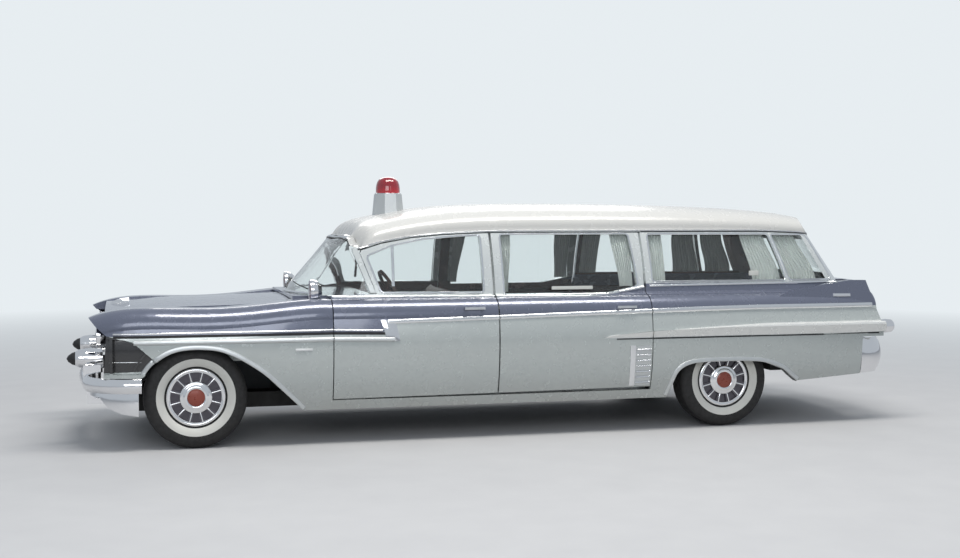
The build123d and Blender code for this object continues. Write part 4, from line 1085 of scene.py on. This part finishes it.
roof_thickness = 0.024
evened_rows = 15
evened_rounds = 7
verts = []
for inset in (0.0, roof_thickness):
    rows = relaxed(roof_rows(inset), evened_rows, evened_rounds) + rear_rows(inset)
    verts += [p for row in rows for p in row]
faces = shell_faces(len(rows), len(rows[0]))
roof_skin = piece("roof_skin", verts, faces, "car_body", paint_roof)
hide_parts("roof_panel")

# The frame's header is drawn in under the roof skin
roof_tree = tree_of(roof_skin)
cabin_point = Vector((0.55, 0.0, 1.20))
for v in frame_copy.data.vertices:
    if v.co.x > 0.93 and v.co.z > 1.35:
        away = v.co - cabin_point
        hit = roof_tree.ray_cast(cabin_point, away.normalized(), away.length + 0.3)[0]
        if hit and (hit - cabin_point).length < away.length + 0.006:
            v.co = hit - away.normalized() * 0.006

# Pale trim and dark rubber round the head of the windshield
def front_strip(name, line, profile, material):
    """A moulding laid on the front of the windshield. The line's points are y, z."""
    spine, outs = [], []
    for y, z in line:
        x = front_face(y, z)
        if x is None:
            continue
        low = front_face(y, z - 0.012)
        side_out = front_face(y + 0.012, z)
        side_in = front_face(y - 0.012, z)
        slope_z = (x - low) / 0.012 if low is not None and abs(x - low) < 0.02 else -0.75
        slope_y = 0.0
        if side_out is not None and side_in is not None and abs(side_out - side_in) < 0.06:
            slope_y = (side_out - side_in) / 0.024
        spine.append(Vector((x, y, z)))
        outs.append(Vector((1, -slope_y, -slope_z)).normalized())
    return swept(name, spine, outs, profile, "car_body", material)


head_line = [(-y, z) for y, z in opening[4:0:-1]] + opening[:5]
head_line = resampled(rounded(head_line, 0.09, 6), 0.02)
front_strip("head_trim", [(y, z - 0.006) for y, z in head_line], flat_band(0.020, 0.005), bright)
front_strip("head_rubber", [(y * 0.99, z - 0.022) for y, z in head_line], flat_band(0.008, 0.003), black_rubber)
foot_line = resampled([(-0.62, 1.046), (-0.3, 1.046), (0.3, 1.046), (0.62, 1.046)], 0.03)
front_strip("foot_trim", foot_line, flat_band(0.014, 0.005), bright)

# Wipers parked on the windshield
blade = [(-0.003, 0.002), (-0.003, 0.012), (0.003, 0.012), (0.003, 0.002)]
for k, (start, end) in enumerate(((0.56, 0.10), (-0.06, -0.52))):
    path = [(start, 1.062), ((start + end) / 2, 1.088), (end, 1.108)]
    front_strip("wiper_" + str(k), resampled(path, 0.02), blade, black_rubber)

# Blank strips inside two windows of the left side
rounded_block("window_strip_door", (-0.620, 0.870, 1.065), (-0.300, 0.873, 1.090), 0.001, "door_rear_left",
              plate_white)
rounded_block("window_strip_quarter", (-1.998, 0.818, 1.150), (-1.916, 0.821, 1.187), 0.001, "car_body",
              plate_white)

# Front bench seat: a padded cushion and back over a trimmed base

pad_rows, pad_columns = 22, 60
pad_voxel = 0.011
swell_cap = 0.024
channels = 5.5
channel_depth = 0.006


def pad_points(half_length, half_width, thick):
    """A crowned form with its sides pulled in between the corners, lying flat."""
    rows, columns = pad_rows, pad_columns
    verts = []
    for way in (1, -1):
        for i in range(rows):
            u = -1 + 2 * i / (rows - 1)
            for j in range(columns):
                v = -1 + 2 * j / (columns - 1)
                fall = (1 - abs(u) ** 6) ** 0.5 * (1 - abs(v) ** 12) ** 0.5
                x = half_length * u * (1 - 0.05 * (1 - v * v) * u * u)
                y = half_width * v * (1 - 0.015 * (1 - u * u) * v * v)
                verts.append(Vector((x, y, way * thick * max(fall, 0.02))))
    return verts


def swell(obj):
    """Remeshes a pad, blows it up as cloth and caps how far each point moves."""
    remesh = obj.modifiers.new("voxels", "REMESH")
    remesh.mode = "VOXEL"
    remesh.voxel_size = pad_voxel
    with chosen(obj):
        bpy.ops.object.modifier_apply(modifier=remesh.name)
    start = [v.co.copy() for v in obj.data.vertices]
    cloth_mod = obj.modifiers.new("swell", "CLOTH")
    cloth_mod.settings.use_pressure = True
    cloth_mod.settings.uniform_pressure_force = 4.0
    cloth_mod.settings.effector_weights.gravity = 0.0
    cloth_mod.point_cache.frame_start = 1
    cloth_mod.point_cache.frame_end = 20
    for frame_number in range(1, 21):
        bpy.context.scene.frame_set(frame_number)
    grown = obj.evaluated_get(bpy.context.evaluated_depsgraph_get()).data
    moved = [v.co.copy() for v in grown.vertices]
    obj.modifiers.remove(cloth_mod)
    bpy.context.scene.frame_set(1)
    for v, a, b in zip(obj.data.vertices, start, moved):
        step = b - a
        v.co = a + step.normalized() * min(step.length, swell_cap)


def seat_pad(name, centre, turn, half_length, half_width, thick):
    """A seat pad with channels sewn along it, set in place. The turn is about the car's width."""
    verts = pad_points(half_length, half_width, thick)
    obj = piece(name, verts, shell_faces(pad_rows, pad_columns), "car_body", seat_leather)
    swell(obj)
    c, n = math.cos(turn), math.sin(turn)
    for v in obj.data.vertices:
        x, y, z = v.co
        if abs(x) < half_length * 0.78 and z > 0:
            z -= channel_depth * math.exp(-(((y / half_width * channels) % 1.0 - 0.5) / 0.07) ** 2)
        v.co = Vector(centre) + Vector((x * c - z * n, y, x * n + z * c))
    for face in obj.data.polygons:
        face.use_smooth = True
    divide = obj.modifiers.new("finer", "SUBSURF")
    divide.levels = 1
    with chosen(obj):
        bpy.ops.object.modifier_apply(modifier=divide.name)
    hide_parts("front_seat")


seat_pad("seat_cushion", (0.652, 0.0, 0.535), math.radians(5.4), 0.205, 0.640, 0.038)
seat_pad("seat_back", (0.322, 0.0, 0.835), math.radians(102.5), 0.232, 0.640, 0.034)
for side in (1, -1):
    low_y, high_y = sorted((side * 0.110, side * 0.630))
    base = rounded_block("seat_base_" + side_name(side), (0.345, low_y, 0.360), (0.745, high_y, 0.475), 0.012,
                         "car_body", interior)
    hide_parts("front_seat")

# Beacon lens: a fluted dome
lens_rows = [(0.0935, 1.778), (0.0935, 1.800), (0.0930, 1.826), (0.0895, 1.850), (0.0825, 1.872), (0.0705, 1.891),
             (0.0530, 1.904), (0.0300, 1.911), (0.0008, 1.9128)]
beacon_x = 0.757
flutes = 24
points_round = 120
verts = []
for radius, z in lens_rows:
    for k in range(points_round):
        angle = 2 * math.pi * k / points_round
        flute = radius * (1 - 0.014 * (0.5 + 0.5 * math.cos(flutes * angle)) * min(1.0, radius / 0.05))
        verts.append((beacon_x + flute * math.cos(angle), flute * math.sin(angle), z))
faces = grid_faces(len(lens_rows), points_round, False, True)
dome = piece("beacon_dome", verts, faces, "car_body", beacon_red)
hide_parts("beacon_lens")
ring = [(0.0990, 1.7770), (0.1005, 1.7800), (0.1000, 1.7850), (0.0965, 1.7870), (0.0938, 1.7850)]
revolved("beacon_ring", ring, Vector((beacon_x, 0, 0)), 1, "car_body", chrome, 72, axis="Z")

# Lamp lenses: round glasses with a bright rim. Rows: name, x, y, z, radius, direction, depth, lens
lamp_rows = [
    ("headlamp", 2.934, 0.700, 0.782, 0.074, 1, 0.008, lamp_front),
    ("warning_lamp", 1.4715, 0.775, 1.078, 0.068, 1, 0.006, dark_red_lens),
    ("tail_lamp", -3.0965, 0.925, 0.745, 0.033, -1, 0.003, dark_red_lens),
]
for name, x, y, z, radius, way, depth, lens in lamp_rows:
    rows = [(radius, -0.004), (radius, 0.001), (radius * 0.85, depth * 0.45), (radius * 0.55, depth * 0.8),
            (radius * 0.25, depth * 0.97), (0.0006, depth)]
    rim = [(radius + 0.010, -0.006), (radius + 0.009, 0.002), (radius + 0.004, 0.004), (radius - 0.001, 0.001),
           (radius - 0.001, -0.004)]
    for side in (1, -1):
        centre = Vector((x, side * y, z))
        revolved(name + "_lens_" + side_name(side), rows, centre, way, "car_body", lens, 48, "X")
        revolved(name + "_rim_" + side_name(side), rim, centre, way, "car_body", chrome, 48, axis="X")

# Chrome line in the recess ahead of each front wheel, which is painted near-black as shade
side_strip("recess_line", *on_fender, [(2.850, 0.612), (2.640, 0.612)], half_round(0.007, 0.004), bright)

# Hood ornament: a plain swept fin
ornament = [(2.845, 0.962, 0.004), (2.835, 0.975, 0.007), (2.800, 0.992, 0.008), (2.760, 1.000, 0.006),
            (2.715, 1.003, 0.003)]
verts = []
hood_tree = tree_of(nodes["hood"])
for x, z, half in ornament:
    hit = hood_tree.ray_cast(Vector((x, 0, 1.3)), Vector((0, 0, -1)))[0]
    base = hit.z - 0.002 if hit else 0.95
    for y, at in ((half * 1.8, base), (half * 1.3, base + 0.006), (half * 0.6, (base + z) / 2), (0, z),
                  (-half * 0.6, (base + z) / 2), (-half * 1.3, base + 0.006), (-half * 1.8, base)):
        verts.append((x, y, at))
faces = grid_faces(len(ornament), 7) + [tuple(range(7)), tuple(range(28, 35))]
piece("hood_ornament", verts, faces, "hood", chrome)

# Camera at the photograph's viewing angle
camera_place = Vector((2.7537, 10.2263, 1.5936))
camera_turn = math.radians(14.995)
camera_pitch = math.radians(2.62)
looks = Vector((-math.sin(camera_turn) * math.cos(camera_pitch), -math.cos(camera_turn) * math.cos(camera_pitch),
                -math.sin(camera_pitch)))
camera = linked("camera", bpy.data.cameras.new("camera"))
camera.data.sensor_width = 36.0
camera.data.lens = 50.0
camera.location = camera_place
camera.rotation_euler = looks.to_track_quat("-Z", "Y").to_euler()
bpy.context.scene.camera = camera

# Floor, lamps and sky
SKY_SEEN = (0.80, 0.85, 0.88)
floor_shade = Shade("floor_pale", Roughness=0.8)
bounced = floor_shade.add("LightPath").outputs["Is Diffuse Ray"]
pale = floor_shade.mix(floor_shade.noise(3.0, 6.0), (0.46, 0.46, 0.47), (0.52, 0.52, 0.525))
floor_shade.color(floor_shade.mix(bounced, pale, (0.20, 0.20, 0.20)))
floor_shade.bump(floor_shade.noise(120.0, 3.0), 0.0006, 0.3)
x, y, z = floor_shade.place()
haze = floor_shade.held(floor_shade.math("MULTIPLY_ADD", floor_shade.length(x, y), 1 / 10.0, -0.45))
glow = floor_shade.add("Emission")
floor_shade.put(glow.inputs["Color"], SKY_SEEN)
floor_shade.blend(floor_shade.times(haze, floor_shade.seen()), floor_shade.bsdf, glow, "Material Output")
floor_mesh = bpy.data.meshes.new("floor")
reach = 60.0
floor_mesh.from_pydata([(-reach, -reach, 0), (reach, -reach, 0), (reach, reach, 0), (-reach, reach, 0)], [],
                       [(0, 1, 2, 3)])
floor_mesh.materials.append(floor_shade.mat)
linked("floor", floor_mesh)

world = bpy.data.worlds.new("soft_sky")
bpy.context.scene.world = world
world.use_nodes = True
sky = Nodes(world.node_tree)
lit = sky.tree.nodes["Background"]
backdrop = sky.add("Background")
for node, color, strength in ((lit, (0.80, 0.87, 0.95), 0.62), (backdrop, SKY_SEEN, 1.0)):
    sky.put(node.inputs["Color"], color)
    sky.put(node.inputs["Strength"], strength)
sky.blend(sky.seen(), lit, backdrop, "World Output")


def lamp(name, place, aim, size, power, color):
    """A soft square lamp aimed at a point."""
    data = bpy.data.lights.new(name, "AREA")
    data.shape = "RECTANGLE"
    data.size, data.size_y = size
    data.energy = power
    data.color = color
    obj = linked(name, data)
    obj.location = place
    obj.rotation_euler = (Vector(aim) - Vector(place)).to_track_quat("-Z", "Y").to_euler()


lamp("key_lamp", (-0.5, 2.6, 8.5), (-0.2, 0.3, 0.8), (7.0, 2.0), 620, (1.0, 0.97, 0.92))
lamp("fill_lamp", (3.0, 10.0, 4.0), (0.0, 0, 0.8), (7.0, 3.0), 210, (0.95, 0.97, 1.0))
lamp("back_lamp", (-1.0, -7.0, 6.0), (0, 0, 1.0), (7.0, 3.0), 200, (1.0, 0.98, 0.95))

bpy.context.scene.view_settings.view_transform = "Standard"
